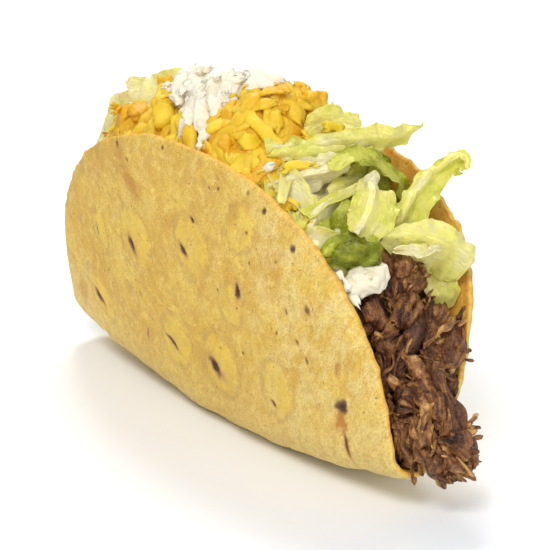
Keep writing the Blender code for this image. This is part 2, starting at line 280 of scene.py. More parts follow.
# Dark slits: millimetres over the fold and along it, length, width and turn in degrees, darkness.
SLITS = (
    (-48.3, 23.2, 5.8, 2.5, 118, 0.9), (-54.7, 0.9, 4.6, 2.2, 133, 0.9), (-28.6, 10.2, 7, 1.6, 156, 0.85),
    (-28.4, -8.3, 7.4, 3, 140, 1), (-23, 46, 6, 2.8, 132, 0.85),
    (-49.1, -19.7, 5, 1.9, 103, 0.9), (-63, -3.7, 2.4, 1.3, 140, 0.9),
    (-44.1, 40.4, 4.4, 1.1, 101, 0.5), (-45.7, -36.5, 2.4, 0.9, 101, 0.45),
    (-46.2, -43.5, 2.8, 1.5, 109, 0.55), (-38.7, -39.5, 2, 0.9, 110, 0.5),
    (-34.6, -42.6, 2.6, 0.9, 104, 0.5), (-23.5, -30.1, 3, 1.2, 142, 0.75),
    (-25.6, 22.6, 5, 0.9, 86, 0.35), (-36, 22.6, 2.4, 0.8, 119, 0.35),
    (-14.5, -53.4, 8, 1, 96, 0.75), (53, 13, 5, 2.2, 60, 0.9), (46, -12, 4.6, 2, 50, 0.85),
    (31, 26, 5.6, 1.8, 35, 0.9), (27.5, -2, 6.4, 2.6, 45, 1), (29, -28, 4.2, 1.8, 70, 0.8),
    (40, 42, 4, 1.5, 80, 0.6), (62, 2, 2.6, 1.2, 40, 0.7), (38, -42, 2.6, 1.1, 75, 0.55),
)
# Round dark spots: over, along, width, darkness.
SPOTS = (
    (-68.5, -30.2, 1.7, 0.9), (-60.1, -39.2, 1.9, 0.85), (-23.6, -52.9, 4, 1), (-70.8, 20.2, 1.1, 0.5),
    (-72.6, 25.1, 1.8, 0.6), (-78, 5.4, 1, 0.7), (-72, -11.8, 0.9, 0.5), (-72.4, -15.1, 1, 0.6),
    (-72.4, -25.1, 1.3, 0.4), (-63.3, -24.6, 0.9, 0.6), (-56.1, -24.4, 0.9, 0.5), (-48.1, -12, 0.8, 0.5),
    (-40.6, -32.8, 1, 0.5), (-34, -19.3, 1, 0.6), (-57.1, -33.8, 0.8, 0.5), (-33.6, -11.1, 0.8, 0.4),
    (67, -20, 1.6, 0.9), (64, 24, 1.2, 0.6), (57, -36, 1.8, 0.8), (22, -46, 2.6, 0.9),
    (40, 12, 0.9, 0.5), (38, -20, 1, 0.6), (52, 31, 1, 0.5), (70, 8, 1, 0.5),
)
# Toasted patches: over, along, length, width, turn, strength.
TOASTED = (
    (-64.8, 19.3, 7, 5, 135, 0.75), (-66.1, 33.6, 5.5, 4.5, 120, 0.35),
    (-20, -52.4, 4.6, 3.4, 86, 1), (-32.7, -52.6, 3.4, 2, 86, 0.75),
    (-67.5, -20.4, 7, 4, 60, 0.45), (-58.5, 44, 5, 3, 90, 0.35),
    (-49.1, 50.5, 6, 3, 90, 0.35), (-71.5, 23, 4, 3.5, 90, 0.35),
    (-46, -43.2, 4.2, 3, 109, 0.4), (-14.2, -53.5, 9, 1.4, 96, 0.7), (-17, 57, 8, 4, 60, 0.5),
    (64, 14, 7, 5, 40, 0.55), (58, -44, 6, 3.5, 80, 0.4), (20, -48, 4, 2.6, 60, 0.8),
    (16, 52, 8, 4, 100, 0.45), (70, -8, 6, 3, 90, 0.4),
)
# How far the noise pushes each kind of mark out of its oval.
MARK_JITTER = {"blister": (0.42, 0.42, 0.0), "slit": (0.40, 0.9, 0.0), "spot": (0.6, 0.6, 0.0),
               "toast": (1.1, 1.1, 0.0)}
IN_PLANE = (1.0, 1.0, 0.0)


def section(over, along, near):
    """Outer skin over the fold at a distance from its middle line: x and height, as arrays."""
    middle = np.clip(1.0 - along * along, 0.0, 1.0)
    radius = mix(FOLD_RADIUS_TIP, FOLD_RADIUS_MID, middle)
    limited = FAR_LEAN_LIMIT - np.log1p(np.exp((FAR_LEAN_LIMIT - along) * 6.0)) / 6.0
    lean = np.where(near, NEAR_LEAN + NEAR_LEAN_SLOPE * along, FAR_LEAN + FAR_LEAN_SLOPE * limited)
    bow = np.where(near, NEAR_BOW, FAR_BOW)
    half_flat = FOLD_FLAT_MID / 2 * middle
    turn = math.pi / 2 - lean
    flat = np.minimum(over, half_flat)
    arc = np.clip(over - half_flat, 0.0, radius * turn)
    wall = np.maximum(over - half_flat - radius * turn, 0.0)
    out = flat + radius * np.sin(arc / radius) + (np.sin(turn + bow * wall) - np.sin(turn)) / bow
    height = radius * (1.0 - np.cos(arc / radius)) - (np.cos(turn + bow * wall) - np.cos(turn)) / bow
    out = np.where(near, -out, out) - FOLD_DRIFT * along * along
    return out, height + ROCKER * along * along - REST_CUT


def shell_points(over, along):
    """Outer skin at points of the unit disc, before the flat spot is pressed in."""
    x, z = section(np.abs(over) * HALF_GIRTH, along, over < 0.0)
    return np.stack([x, along * HALF_FOLD, z], axis=-1)


def shell_normals(over, along):
    """Direction out of the outer skin at points of the unit disc."""
    step = 0.004
    over_slope = shell_points(over + step, along) - shell_points(over - step, along)
    along_slope = shell_points(over, along + step) - shell_points(over, along - step)
    normals = np.cross(along_slope, over_slope)
    return normals / np.linalg.norm(normals, axis=-1, keepdims=True)


def mark_frame(over, along, mark):
    """Coordinates in a mark's own turned frame, both 1 on its outline."""
    turn = math.radians(mark[4])
    off_over = over - mark[0]
    off_along = along - mark[1]
    down = off_over * math.sin(turn) + off_along * math.cos(turn)
    aside = off_over * math.cos(turn) - off_along * math.sin(turn)
    return down / (mark[2] / 2), aside / (mark[3] / 2)


def oval_distance(over, along, mark):
    """Distance from a mark's middle, 1 on its outline."""
    return np.hypot(*mark_frame(over, along, mark))


def nearest_mark(over, along, table):
    """For each place the frame of the mark nearest to it, with that mark's strength; no strength far off."""
    best = np.full(over.shape, 1e9)
    result = np.zeros(over.shape + (3,))
    result[..., :2] = 9.0
    for mark in table:
        down, aside = mark_frame(over, along, mark)
        gap = (np.hypot(down, aside) - 1.0) * min(mark[2], mark[3]) / 2
        closer = gap < best
        best = np.where(closer, gap, best)
        values = stacked(down, aside, np.where(gap < MARK_REACH, mark[5], 0.0))
        result = np.where(closer[..., None], values, result)
    return result


def shell_relief(over, along):
    """Height of the outer skin's unevenness: waves, blisters, slits and spots."""
    places = stacked(over, along, np.zeros_like(over))
    tilt = stacked(over * 0.85 - along * 0.53, (over * 0.53 + along * 0.85) * 0.25, over * 0.0)
    height = 0.50 * waves(places, 26.0) + 0.20 * waves(places, 9.0, 5) + 0.08 * waves(places, 3.0, 9)
    height = height + 0.16 * waves(tilt, 5.0, 13) - 0.22 * np.exp(-(waves(tilt, 13.0, 17) / 0.06) ** 2)
    wobble = 0.10 * waves(places, 4.0, 3)
    for mark in BLISTERS:
        distance = oval_distance(over, along, mark) + wobble
        height += 0.34 * ease((1.0 - distance) / 0.35)
        height -= 0.10 * np.exp(-((distance - 1.04) / 0.08) ** 2)
    for mark in SLITS:
        wide = (mark[0], mark[1], mark[2], mark[3] * 1.1, mark[4])
        height -= 0.35 * mark[5] * np.exp(-oval_distance(over, along, wide) ** 2)
    for mark in SPOTS:
        height -= 0.2 * np.exp(-((over - mark[0]) ** 2 + (along - mark[1]) ** 2) / (mark[2] / 2) ** 2)
    return height * MM


def disc_grid():
    """A square grid rounded into the unit disc, with a ragged edge, and how far out each place was."""
    step = np.linspace(-1.0, 1.0, SHELL_CELLS + 1)
    across = np.sign(step) * np.abs(step) ** FOLD_CROWDING
    across, along = np.meshgrid(across, step, indexing="ij")
    over = across * np.sqrt(1.0 - along ** 2 / 2)
    along = along * np.sqrt(1.0 - across ** 2 / 2)
    angle = np.arctan2(along, over)
    reach = np.hypot(over, along)
    ring = stacked(np.cos(angle), np.sin(angle), np.zeros_like(angle))
    ragged = 0.5 * waves(ring, 0.09, 1) + 0.5 * waves(ring, 0.03, 4) + 0.6 * waves(ring, 0.4, 7)
    far_share = ease(over / 0.3)
    shrink = 1.0 - (0.010 + (0.004 + 0.004 * far_share) * ragged) * ease((reach - 0.8) / 0.2)
    return over * shrink, along * shrink, reach


def disc_places(over, along, skin):
    """Millimetres over the fold and along it, with the skin: 1 outside, 0 inside."""
    return stacked(over * HALF_GIRTH / MM, along * HALF_FOLD / MM, np.full_like(over, skin))


def shell_skins(over, along, reach):
    """Outer and inner skin over the disc's grid, with relief, a thinner rim and a flat spot to stand on."""
    base = shell_points(over, along)
    normals = shell_normals(over, along)
    resting = base[..., 2] < REST_BAND
    places = disc_places(over, along, 0.0)
    relief = shell_relief(places[..., 0], places[..., 1])[..., None]
    rim_share = ease((reach - RIM_START) / RIM_WIDTH)[..., None]
    outer = base + normals * (relief * (1.0 - 0.6 * rim_share) - 0.0003 * rim_share)
    outer[..., 2] = np.where(resting, np.maximum(outer[..., 2], 0.0), outer[..., 2])
    inner_wave = 0.25 * waves(places, 11.0, 30) + 0.15 * waves(places, 3.5, 40)
    wall = (THICKNESS + inner_wave * MM * 0.7)[..., None] * (1.0 - 0.22 * rim_share)
    inner = base - normals * wall
    inner[..., 2] = np.maximum(inner[..., 2], THICKNESS * resting)
    return outer, inner


def tortilla():
    """The shell's two skins, joined by a rounded, crumbly rim."""
    over, along, reach = disc_grid()
    outer, inner = shell_skins(over, along, reach)
    count = outer[..., 0].size
    index = np.arange(count).reshape(over.shape)
    points = [outer.reshape(-1, 3), inner.reshape(-1, 3)]
    places = [disc_places(over, along, skin).reshape(-1, 3) for skin in (1.0, 0.0)]
    quads = grid_quads(index)
    faces = [quads, quads[:, ::-1] + count]

    loop = grid_loop(index.T)
    edge_outer, edge_inner = points[0][loop], points[1][loop]
    edge_over, edge_along = over.ravel()[loop], along.ravel()[loop]
    beyond = unit(shell_points(edge_over * 1.02, edge_along * 1.02) - shell_points(edge_over, edge_along))
    half = np.linalg.norm(edge_outer - edge_inner, axis=1, keepdims=True) / 2
    previous = loop
    for number in range(1, RIM_LOOPS + 1):
        turn = math.pi * number / (RIM_LOOPS + 1)
        share = (1.0 - math.cos(turn)) / 2
        crumb = waves(edge_outer, 0.0016, number)[:, None] * 0.00012
        points.append(mix(edge_outer, edge_inner, share) + beyond * (half * 0.8 * math.sin(turn) + crumb))
        places.append(disc_places(edge_over, edge_along, 1.0 - share))
        current = 2 * count + (number - 1) * len(loop) + np.arange(len(loop))
        faces.append(band(previous, current))
        previous = current
    faces.append(band(previous, loop + count))

    points = np.concatenate(points)
    points[:, 2] = np.maximum(points[:, 2], 0.0)
    shell = add_mesh("tortilla", points, np.concatenate(faces).tolist(), tortilla_material())
    turned = bmesh.new()
    turned.from_mesh(shell.data)
    bmesh.ops.recalc_face_normals(turned, faces=turned.faces)
    turned.to_mesh(shell.data)
    turned.free()
    places = np.concatenate(places)
    set_attribute(shell, "disc", places)
    spots = [(*spot[:2], spot[2] * SPOT_STRETCH, spot[2], 90, spot[3]) for spot in SPOTS]
    blisters = [(*mark, 1.0) for mark in BLISTERS]
    for name, table in (("blister", blisters), ("slit", SLITS), ("spot", spots), ("toast", TOASTED)):
        set_attribute(shell, name, nearest_mark(places[:, 0], places[:, 1], table))
    return declare(shell, "tortilla", "tortilla_shell")


def corn_mottling(s, flat, over, along):
    """The fried skin's patches of gold, cream and tan, with the coarse and fine grain they come from; paler
    near the fold as painted light of the floor's bounce, and creamier toward the front end, partly a painted
    highlight.
    """
    broad = s.noise(flat, 0.055, 4.0, 0.55)
    patchy = s.noise(flat, 0.20, 4.0, 0.65)
    tan = s.noise(flat, 0.15, 5.0, 0.7, shift=(31.0, 17.0))
    cream = s.noise(flat, 0.12, 5.0, 0.72, shift=(7.0, 43.0))
    wrinkles = s.stretched_noise(flat, 12.0, 2.2, math.radians(32.0), 4.0, 0.65)
    streak = s.stretched_noise(flat, 9.0, 1.3, 0.0, 3.0, 0.6)
    grain = s.noise(flat, 1.6, 4.0, 0.75)
    fine = s.noise(flat, 3.4, 3.0, 0.7)
    freckled = s.noise(flat, 0.42, 5.0, 0.72, shift=(3.0, 91.0))
    depth = s.math("ABSOLUTE", over)
    # Paler, creamier skin near the fold is painted light: the floor's bounce on the bottom of the shell.
    low = s.ranged(depth, 12.0, 34.0, 1.0, 0.0)
    golden = s.painted(
        s.blend(s.ranged(broad, 0.36, 0.62), (0.74, 0.450, 0.073), (0.91, 0.665, 0.140)),
        (s.ranged(patchy, 0.50, 0.70, 0.0, 0.75), (0.92, 0.72, 0.27)),
        (s.ranged(tan, 0.47, 0.66, 0.0, 0.80), (0.68, 0.38, 0.10)),
        (s.ranged(cream, 0.56, 0.72, 0.0, 0.55), (0.90, 0.76, 0.40)),
        # Cream blotches toward the front end, partly real cream mottling and partly a painted highlight.
        (s.times(s.ranged(along, -8.0, -40.0), s.ranged(cream, 0.42, 0.58, 0.0, 0.75)), (0.98, 0.85, 0.50)),
        (s.ranged(wrinkles, 0.54, 0.74, 0.0, 0.60), (0.93, 0.78, 0.42)),
        (s.ranged(wrinkles, 0.44, 0.28, 0.0, 0.50), (0.66, 0.37, 0.09)),
        # Painted light of the floor's bounce: cream near the fold, with the pale streaks shown only there.
        (s.times(low, 0.5), (0.92, 0.75, 0.36)),
        (s.ranged(depth, 5.0, 24.0, 0.55, 0.0), (0.98, 0.84, 0.48)),
        (s.times(s.ranged(streak, 0.5, 0.72), s.times(low, 0.6)), (0.91, 0.78, 0.46)),
        (s.ranged(grain, 0.28, 0.60, 0.75, 0.0, smooth=False), (0.60, 0.33, 0.06)),
        (s.ranged(fine, 0.52, 0.72, 0.0, 0.85), (0.97, 0.83, 0.48)),
        (s.ranged(fine, 0.45, 0.29, 0.0, 0.90), (0.54, 0.28, 0.06)),
        (s.ranged(freckled, 0.50, 0.64, 0.0, 0.48), (0.64, 0.38, 0.09)),
        (s.ranged(freckled, 0.47, 0.34, 0.0, 0.50), (0.98, 0.80, 0.30)))
    return s.blend(1.0, golden, (1.0, 0.965, 0.67), "MULTIPLY"), grain, fine


def tortilla_material():
    """Golden corn with toasted mottling, pale blisters, dark slits and an oily orange inside."""
    s = Shader("fried_corn")
    disc = s.attribute("disc")
    parts = s.split(disc)
    flat = s.vector("MULTIPLY", disc, IN_PLANE)
    jitter = s.vector("SUBTRACT", s.noise(flat, 0.45, 4.0, 0.6, output="Color"), (0.5, 0.5, 0.5))
    jitter = s.vector("MULTIPLY", jitter, (2.0, 2.0, 0.0))

    def pushed(vector, reach):
        """A place moved about by the noise, so that no outline is even."""
        return s.vector("ADD", vector, s.vector("MULTIPLY", jitter, reach))

    def marked(name, soft, size=1.0):
        """How far a place is inside the nearest mark of a table, with a soft outline."""
        mark = s.attribute(name)
        local = pushed(s.vector("MULTIPLY", mark, IN_PLANE), MARK_JITTER[name])
        amount = s.ranged(s.vector("LENGTH", local), size + soft, size - soft)
        return s.times(amount, s.ranged(s.split(mark)["Z"], 0.0, 1.0, smooth=False))

    golden, grain, fine = corn_mottling(s, flat, parts["X"], parts["Y"])
    pale = marked("blister", 0.12, 0.96)
    edge = s.math("SUBTRACT", marked("blister", 0.10, 1.14), pale, clamp=True)
    fade = s.ranged(s.noise(flat, 0.25, 2.0), 0.35, 0.6, 0.25, 1.0)
    dark = s.math("MAXIMUM", marked("slit", 0.25, 0.70), marked("spot", 0.3, 0.80))
    darkest = s.math("MAXIMUM", marked("slit", 0.2, 0.46), marked("spot", 0.25, 0.46))
    sparse = s.ranged(s.noise(flat, 0.16, 3.0, shift=(5.0, 71.0)), 0.42, 0.60)
    pits = s.times(s.ranged(s.cells(pushed(flat, (0.5, 0.5, 0.0)), 0.55), 0.14, 0.04), sparse)
    specks = s.ranged(s.cells(pushed(flat, (0.3, 0.3, 0.0)), 1.1), 0.17, 0.06)
    golden = s.painted(
        golden,
        (s.times(pale, s.times(fade, 0.66)), (0.88, 0.62, 0.085)),
        (s.times(edge, s.times(fade, 0.55)), (0.57, 0.34, 0.10)),
        (marked("toast", 0.6), (0.56, 0.24, 0.03)),
        (s.times(marked("slit", 0.45, 1.15), 0.75), (0.60, 0.31, 0.10)),
        (s.times(dark, 0.95), (0.19, 0.070, 0.036)),
        (s.times(darkest, 0.9), (0.045, 0.016, 0.012)),
        (s.times(pits, 0.85), (0.30, 0.14, 0.05)),
        (s.times(specks, 0.65), (0.45, 0.24, 0.07)))

    oily = s.blend(s.ranged(s.noise(flat, 0.22, 4.0), 0.35, 0.68), (0.58, 0.26, 0.022), (0.78, 0.44, 0.06))
    oily = s.blend(s.ranged(s.noise(flat, 0.9, 3.0), 0.55, 0.75, 0.0, 0.5), oily, (0.45, 0.15, 0.012))
    rim = s.blend(s.ranged(s.noise(flat, 0.7, 3.0), 0.4, 0.7), (0.84, 0.52, 0.09), (0.72, 0.37, 0.05))
    skin = parts["Z"]
    colour = s.painted(oily, (s.ranged(skin, 0.02, 0.25), rim), (s.ranged(skin, 0.70, 0.99), golden))
    height = s.total(0.0, (grain, 0.5), (fine, 0.25), (s.noise(flat, 0.40, 4.0, 0.6), 1.6), (pits, -0.8),
                     (dark, -1.2), (pale, 0.35))
    return s.finish(Base_Color=colour, Normal=s.bump(height, 0.0005), Roughness=0.58,
                    Specular_IOR_Level=0.35, Subsurface_Weight=0.06,
                    Subsurface_Radius=(0.004, 0.002, 0.0008))


# ---------------------------------------------------------------- walls

WALL_ROWS = 61
WALL_HEIGHTS = 91
WALL_TOP = 0.09
WALL_REACH = 0.985
OPEN_SPACE = 0.2


def wall_tables():
    """Inner skins of both walls on a grid of along and height, open above the rim, and the fold's floor."""
    rows = np.linspace(-WALL_REACH, WALL_REACH, WALL_ROWS)
    levels = np.linspace(0.0, WALL_TOP, WALL_HEIGHTS)
    share = np.linspace(0.0, 1.0, 200)
    near_x = np.zeros((WALL_ROWS, WALL_HEIGHTS))
    far_x = np.zeros((WALL_ROWS, WALL_HEIGHTS))
    floors = np.zeros(WALL_ROWS)
    for row, along in enumerate(rows):
        reach = math.sqrt(1.0 - along * along)
        for side, table in ((-1.0, near_x), (1.0, far_x)):
            over = side * share * reach + side * 1e-6
            lines = np.full_like(over, along)
            inner = shell_points(over, lines) - shell_normals(over, lines) * THICKNESS
            table[row] = np.interp(levels, inner[:, 2], inner[:, 0], right=side * OPEN_SPACE)
        floors[row] = shell_points(np.array([1e-6]), np.array([along]))[0, 2] + THICKNESS
    return rows * HALF_FOLD, near_x, far_x, floors


WALL_Y, NEAR_X, FAR_X, FLOORS = wall_tables()


def look_up(table, y, z):
    """A wall's x between the table's nearest four entries."""
    row = np.clip((y - WALL_Y[0]) / (WALL_Y[-1] - WALL_Y[0]) * (WALL_ROWS - 1), 0, WALL_ROWS - 1.001)
    column = np.clip(z / WALL_TOP * (WALL_HEIGHTS - 1), 0, WALL_HEIGHTS - 1.001)
    row_low = row.astype(int)
    column_low = column.astype(int)
    row_share = row - row_low
    column_share = column - column_low
    low = mix(table[row_low, column_low], table[row_low, column_low + 1], column_share)
    high = mix(table[row_low + 1, column_low], table[row_low + 1, column_low + 1], column_share)
    return mix(low, high, row_share)


def keep_inside(points, margin=0.0006):
    """Presses points that would cut through a wall or the fold back between them."""
    points = points.copy()
    y = points[..., 1]
    within = np.abs(y) < HALF_FOLD * WALL_REACH
    floor = np.interp(y, WALL_Y, FLOORS) + margin
    points[..., 2] = np.where(within, np.maximum(points[..., 2], floor), points[..., 2])
    low = look_up(NEAR_X, y, points[..., 2]) + margin
    high = look_up(FAR_X, y, points[..., 2]) - margin
    middle = (low + high) / 2
    low = np.minimum(low, middle)
    high = np.maximum(high, middle)
    points[..., 0] = np.where(within, np.clip(points[..., 0], low, high), points[..., 0])
    points[..., 2] = np.maximum(points[..., 2], margin)
    return points


# ---------------------------------------------------------------- strands, shreds and cores

class Pile:
    """Collects many closed pieces and joins them into one mesh with tone and grain values at each point."""

    def __init__(self):
        self.points = []
        self.faces = []
        self.tones = []
        self.grains = []
        self.count = 0

    def add(self, points, faces, tones, grain=None):
        self.points.append(points)
        self.tones.append(tones)
        self.grains.append(np.zeros_like(points) if grain is None else grain)
        self.faces += [tuple(np.asarray(face) + self.count) for face in faces]
        self.count += len(points)

    def build(self, name, material, slot, *nodes):
        item = add_mesh(name, np.concatenate(self.points), self.faces, material)
        set_attribute(item, "tone", np.concatenate(self.tones))
        set_attribute(item, "grain", np.concatenate(self.grains))
        return declare(item, slot, *nodes)


def smooth_path(knots, count):
    """Points along a smooth curve through the knots, given as rows of any width."""
    knots = np.asarray(knots, dtype=float)
    padded = np.concatenate([2 * knots[:1] - knots[1:2], knots, 2 * knots[-1:] - knots[-2:-1]])
    places = np.linspace(0.0, len(knots) - 1.0, count)
    part = np.minimum(places.astype(int), len(knots) - 2)
    share = (places - part)[:, None]
    before, start, end, after = (padded[part + shift] for shift in range(4))
    return 0.5 * (2 * start + (end - before) * share
                  + (2 * before - 5 * start + 4 * end - after) * share ** 2
                  + (3 * start - before - 3 * end + after) * share ** 3)


def path_frames(path, facing):
    """Tangent, side and normal at each point, the normal as close to the facing direction as it gets."""
    tangent = unit(np.gradient(path, axis=0))
    side = unit(np.cross(tangent, np.broadcast_to(np.asarray(facing, dtype=float), path.shape)) + 1e-9)
    return tangent, side, np.cross(side, tangent)


def wander(path, rng, amount, size):
    """A path with a smooth sideways drift."""
    return path + amount * stacked(*(waves(path, size, int(rng.integers(1, 90))) for _ in range(3)))


def new_seed(rng):
    return int(rng.integers(1, 9000))


def tube_faces(rings, sides):
    faces = []
    for ring in range(rings - 1):
        for side in range(sides):
            after = (side + 1) % sides
            faces.append((ring * sides + side, ring * sides + after,
                          (ring + 1) * sides + after, (ring + 1) * sides + side))
    faces.append(tuple(range(sides))[::-1])
    faces.append(tuple(range((rings - 1) * sides, rings * sides)))
    return faces


FACES = {}
RIDGE_SIZE = 0.62
SIDES_PER_RIDGE = 5.0
GRAIN_STRETCH = 0.2
CAP_SHRINK = 0.6
TAPER_SHARE = 0.12


def strand(pile, path, width, depth, facing, seed, tone, sides, ridges, lumps, lump_size, taper, ragged=0.0,
           square=0.0, ridge_count=None):
    """A closed strand round a path: width across the facing direction, depth along it."""
    rings = len(path)
    tangent, side, normal = path_frames(path, facing)
    along = np.linspace(0.0, 1.0, rings)
    angle, along_grid = np.meshgrid(np.linspace(0.0, 2 * math.pi, sides, endpoint=False), along)
    cosine, sine = np.cos(angle), np.sin(angle)
    swell = np.clip(np.minimum(along, 1.0 - along) / TAPER_SHARE, 0.0, 1.0)
    swell = mix(taper, 1.0, np.sqrt(swell))[:, None]
    girth = (ridge_count or sides / SIDES_PER_RIDGE) * RIDGE_SIZE / (2 * math.pi)
    ring_place = stacked(cosine * girth, sine * girth, along_grid * 1.5 + seed * 7.3)
    ridge = waves(ring_place, RIDGE_SIZE, seed % 97) * 0.7
    ridge = ridge + waves(ring_place, RIDGE_SIZE * 0.6, seed % 89 + 3) * 0.4
    boxy = (np.abs(cosine) ** 4 + np.abs(sine) ** 4) ** -0.25
    shape = swell * (1.0 + ridges * ridge) * mix(1.0, boxy, square)
    across = (cosine * shape * width / 2)[..., None]
    out = (sine * shape * depth / 2)[..., None]
    points = path[:, None] + side[:, None] * across + normal[:, None] * out
    if ragged:
        pull = ragged * waves(stacked(cosine, sine, along_grid * 0), 0.4, seed % 71 + 11)
        ends = np.where(along < 0.5, -1.0, 1.0) * (np.abs(along - 0.5) * 2) ** 6
        points = points + tangent[:, None] * (pull * ends[:, None])[..., None]
    push = lumps * waves(points, lump_size, seed % 83 + 5)[..., None]
    points = points + (side[:, None] * cosine[..., None] + normal[:, None] * sine[..., None]) * push
    length = np.linalg.norm(np.diff(path, axis=0), axis=1).sum()
    # The second tone value is the ridge height; the beef's finish paints shade in the grooves and light on
    # the ridges with it.
    tones = stacked(np.full_like(ridge, tone), ridge, along_grid)
    grain = stacked(cosine * width / 2 + seed * 0.003, sine * depth / 2, along_grid * length * GRAIN_STRETCH)
    caps = []
    for end, outward in ((0, -1.0), (-1, 1.0)):
        middle = points[end].mean(axis=0) + tangent[end] * outward * depth * 0.16 * taper
        caps.append(mix(points[end], middle, CAP_SHRINK)[None])
    points = np.concatenate([caps[0], points, caps[1]]).reshape(-1, 3)
    tones = np.concatenate([tones[:1], tones, tones[-1:]]).reshape(-1, 3)
    grain = np.concatenate([grain[:1], grain, grain[-1:]]).reshape(-1, 3)
    key = (rings + 2, sides)
    if key not in FACES:
        FACES[key] = tube_faces(*key)
    pile.add(keep_inside(points), FACES[key], tones, grain)
    return side, normal


def shred(pile, rng, middle, direction, normal, half_length, width, tone, rings, **style):
    """A short soft shred that sags over what it lies on."""
    share = np.linspace(-1.0, 1.0, rings)[:, None]
    sway = unit(np.cross(direction, normal)) * half_length * rng.uniform(-0.4, 0.4)
    path = middle + direction * half_length * share + sway * share ** 2
    path = path - normal * half_length * rng.uniform(0.05, 0.30) * share ** 2
    strand(pile, path, width, width * rng.uniform(0.35, 0.55), normal, new_seed(rng), tone, ridges=0.12,
           square=0.7, taper=0.66, **style)


def skin_samples(rng, name, keep, count, spacing):
    """Well spread points on a solid's skin, with the skin's direction there."""
    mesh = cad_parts[name].data
    mesh.calc_loop_triangles()
    spots = np.array([vertex.co for vertex in mesh.vertices])
    corners = np.array([triangle.vertices for triangle in mesh.loop_triangles])
    first, second, third = (spots[corners[:, column]] for column in range(3))
    normals = np.cross(second - first, third - first)
    areas = np.linalg.norm(normals, axis=1)
    normals = unit(normals)
    x, y, z = ((first + second + third) / 3).T
    areas = np.where(keep(x, y, z, normals[:, 2]), areas, 0.0)
    chosen = rng.choice(len(corners), size=count * 12, p=areas / areas.sum())
    one, two = rng.random((2, len(chosen), 1))
    fold = one + two > 1.0
    one = np.where(fold, 1.0 - one, one)
    two = np.where(fold, 1.0 - two, two)
    places = first[chosen] + one * (second - first)[chosen] + two * (third - first)[chosen]
    kept = []
    for number, place in enumerate(places):
        if len(kept) == count:
            break
        if all(np.linalg.norm(place - places[other]) > spacing for other in kept):
            kept.append(number)
    return places[kept], normals[chosen][kept]


def along_skin(rng, normal, low, high):
    """A chance direction along a skin, tipped out of it by a share between low and high."""
    return unit(np.cross(normal, rng.normal(size=3)) + normal * rng.uniform(low, high))


def core(name, material, slot, shrink, relief, relief_size, cuts=2, settle=None):
    """The filling's inside: its solid made smaller and lumpy, filling the gaps between the pieces, with the
    lowest tone; for the beef that darkest brown is painted shade in the gaps.
    """
    shape = bmesh.new()
    shape.from_mesh(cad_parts[name].data)
    bmesh.ops.remove_doubles(shape, verts=shape.verts, dist=1e-6)
    bmesh.ops.triangulate(shape, faces=shape.faces)
    bmesh.ops.subdivide_edges(shape, edges=shape.edges, cuts=cuts, use_grid_fill=True)
    for _ in range(3):
        bmesh.ops.smooth_vert(shape, verts=shape.verts, factor=0.5, use_axis_x=True, use_axis_y=True,
                              use_axis_z=True)
    shape.normal_update()
    points = np.array([vertex.co for vertex in shape.verts])
    normals = np.array([vertex.normal for vertex in shape.verts])
    bumps = waves(points, relief_size, 21) + 0.5 * waves(points, relief_size / 2.3, 22)
    points = keep_inside(points + normals * (bumps[:, None] * relief - shrink), 0.0004)
    if settle:
        points = settle(points)
    faces = [[vertex.index for vertex in face.verts] for face in shape.faces]
    shape.free()
    item = add_mesh(name + "_core", points, faces, material)
    # The lowest tone makes the beef's inside its darkest brown, painted shade between the pieces.
    set_attribute(item, "tone", stacked(np.full(len(points), -0.3), bumps, bumps * 0))
    return declare(item, slot, name)


# ---------------------------------------------------------------- beef

# A separate program cast points seen in the photo onto the beef's solid. Of the 90 ends of these chunks and
# strands, 53 are just as they were cast. The others were moved or added.
# Chunks of shredded beef at the open front: ends in millimetres, width and tone (0 dark, 1 light).
BEEF_CHUNKS = (
    ((5.5, -48.5, 46.5), (3, -52.5, 42), 6.5, 0.5), ((7.5, -50.5, 45.5), (4, -52.5, 43.5), 4, 0.45),
    ((3, -52, 42.5), (-0.5, -56, 38), 6.5, 0.45), ((-4.5, -49, 41), (-6, -52.5, 36), 7, 0.2),
    ((-5, -53.5, 37), (-5, -56, 33), 5, 0.35), ((-4.5, -56.5, 34.5), (-6.5, -57, 25), 5.5, 0.4),
    ((-2.5, -58, 36.5), (-6.5, -56, 31), 3.5, 0.3), ((11.5, -52.5, 37.5), (4, -60, 33.5), 6.5, 0.4),
    ((12, -57, 34.5), (4, -64, 29), 6.5, 0.5), ((4, -60, 34), (0.5, -66, 29), 5.5, 0.45),
    ((9.5, -60, 33), (7.5, -62, 28), 5, 0.55), ((13, -52.5, 37), (12, -54, 36.5), 4, 0.1),
    ((-5, -60.5, 25.5), (-4, -65.5, 22.5), 6, 0.35), ((-3.5, -63.5, 26.5), (-1.5, -68.5, 25), 5.5, 0.4),
    ((-1, -65, 28.5), (-2, -71.5, 21.5), 5, 0.35), ((8, -62.5, 26), (5.5, -65.5, 23), 4.5, 0.3),
    ((-1.5, -69, 24.5), (-4.5, -71, 17), 4.5, 0.72), ((-2.5, -69.5, 22), (-5, -70.5, 16), 3.5, 0.6),
    ((-1.5, -71.5, 22.5), (-3.5, -73, 18), 4, 0.6), ((-6.5, -59, 24), (-7, -61, 18), 4.5, 0.3),
    ((-6, -61.5, 20.5), (-6, -64, 12), 6.5, 0.5), ((-4.5, -65, 21), (-5, -66.5, 11.5), 6, 0.6),
    ((-6.5, -63, 15), (-5, -67, 9), 5, 0.5), ((-5, -68.5, 17), (-3.5, -72, 10), 5.5, 0.5),
    ((-3, -73, 18), (1, -78, 14.5), 4.5, 0.4), ((-4, -73.5, 16), (-0.5, -76.5, 11.5), 3.2, 0.45),
    ((-4.5, -72.5, 16), (-1.5, -74.5, 9.5), 5, 0.4), ((-0.5, -74, 19.5), (1.5, -77, 17), 4.5, 0.3),
    ((3, -70, 18), (2, -75, 13), 5.5, 0.25), ((1, -74.5, 20.3), (3.4, -76.3, 21.2), 3, 0.8),
)
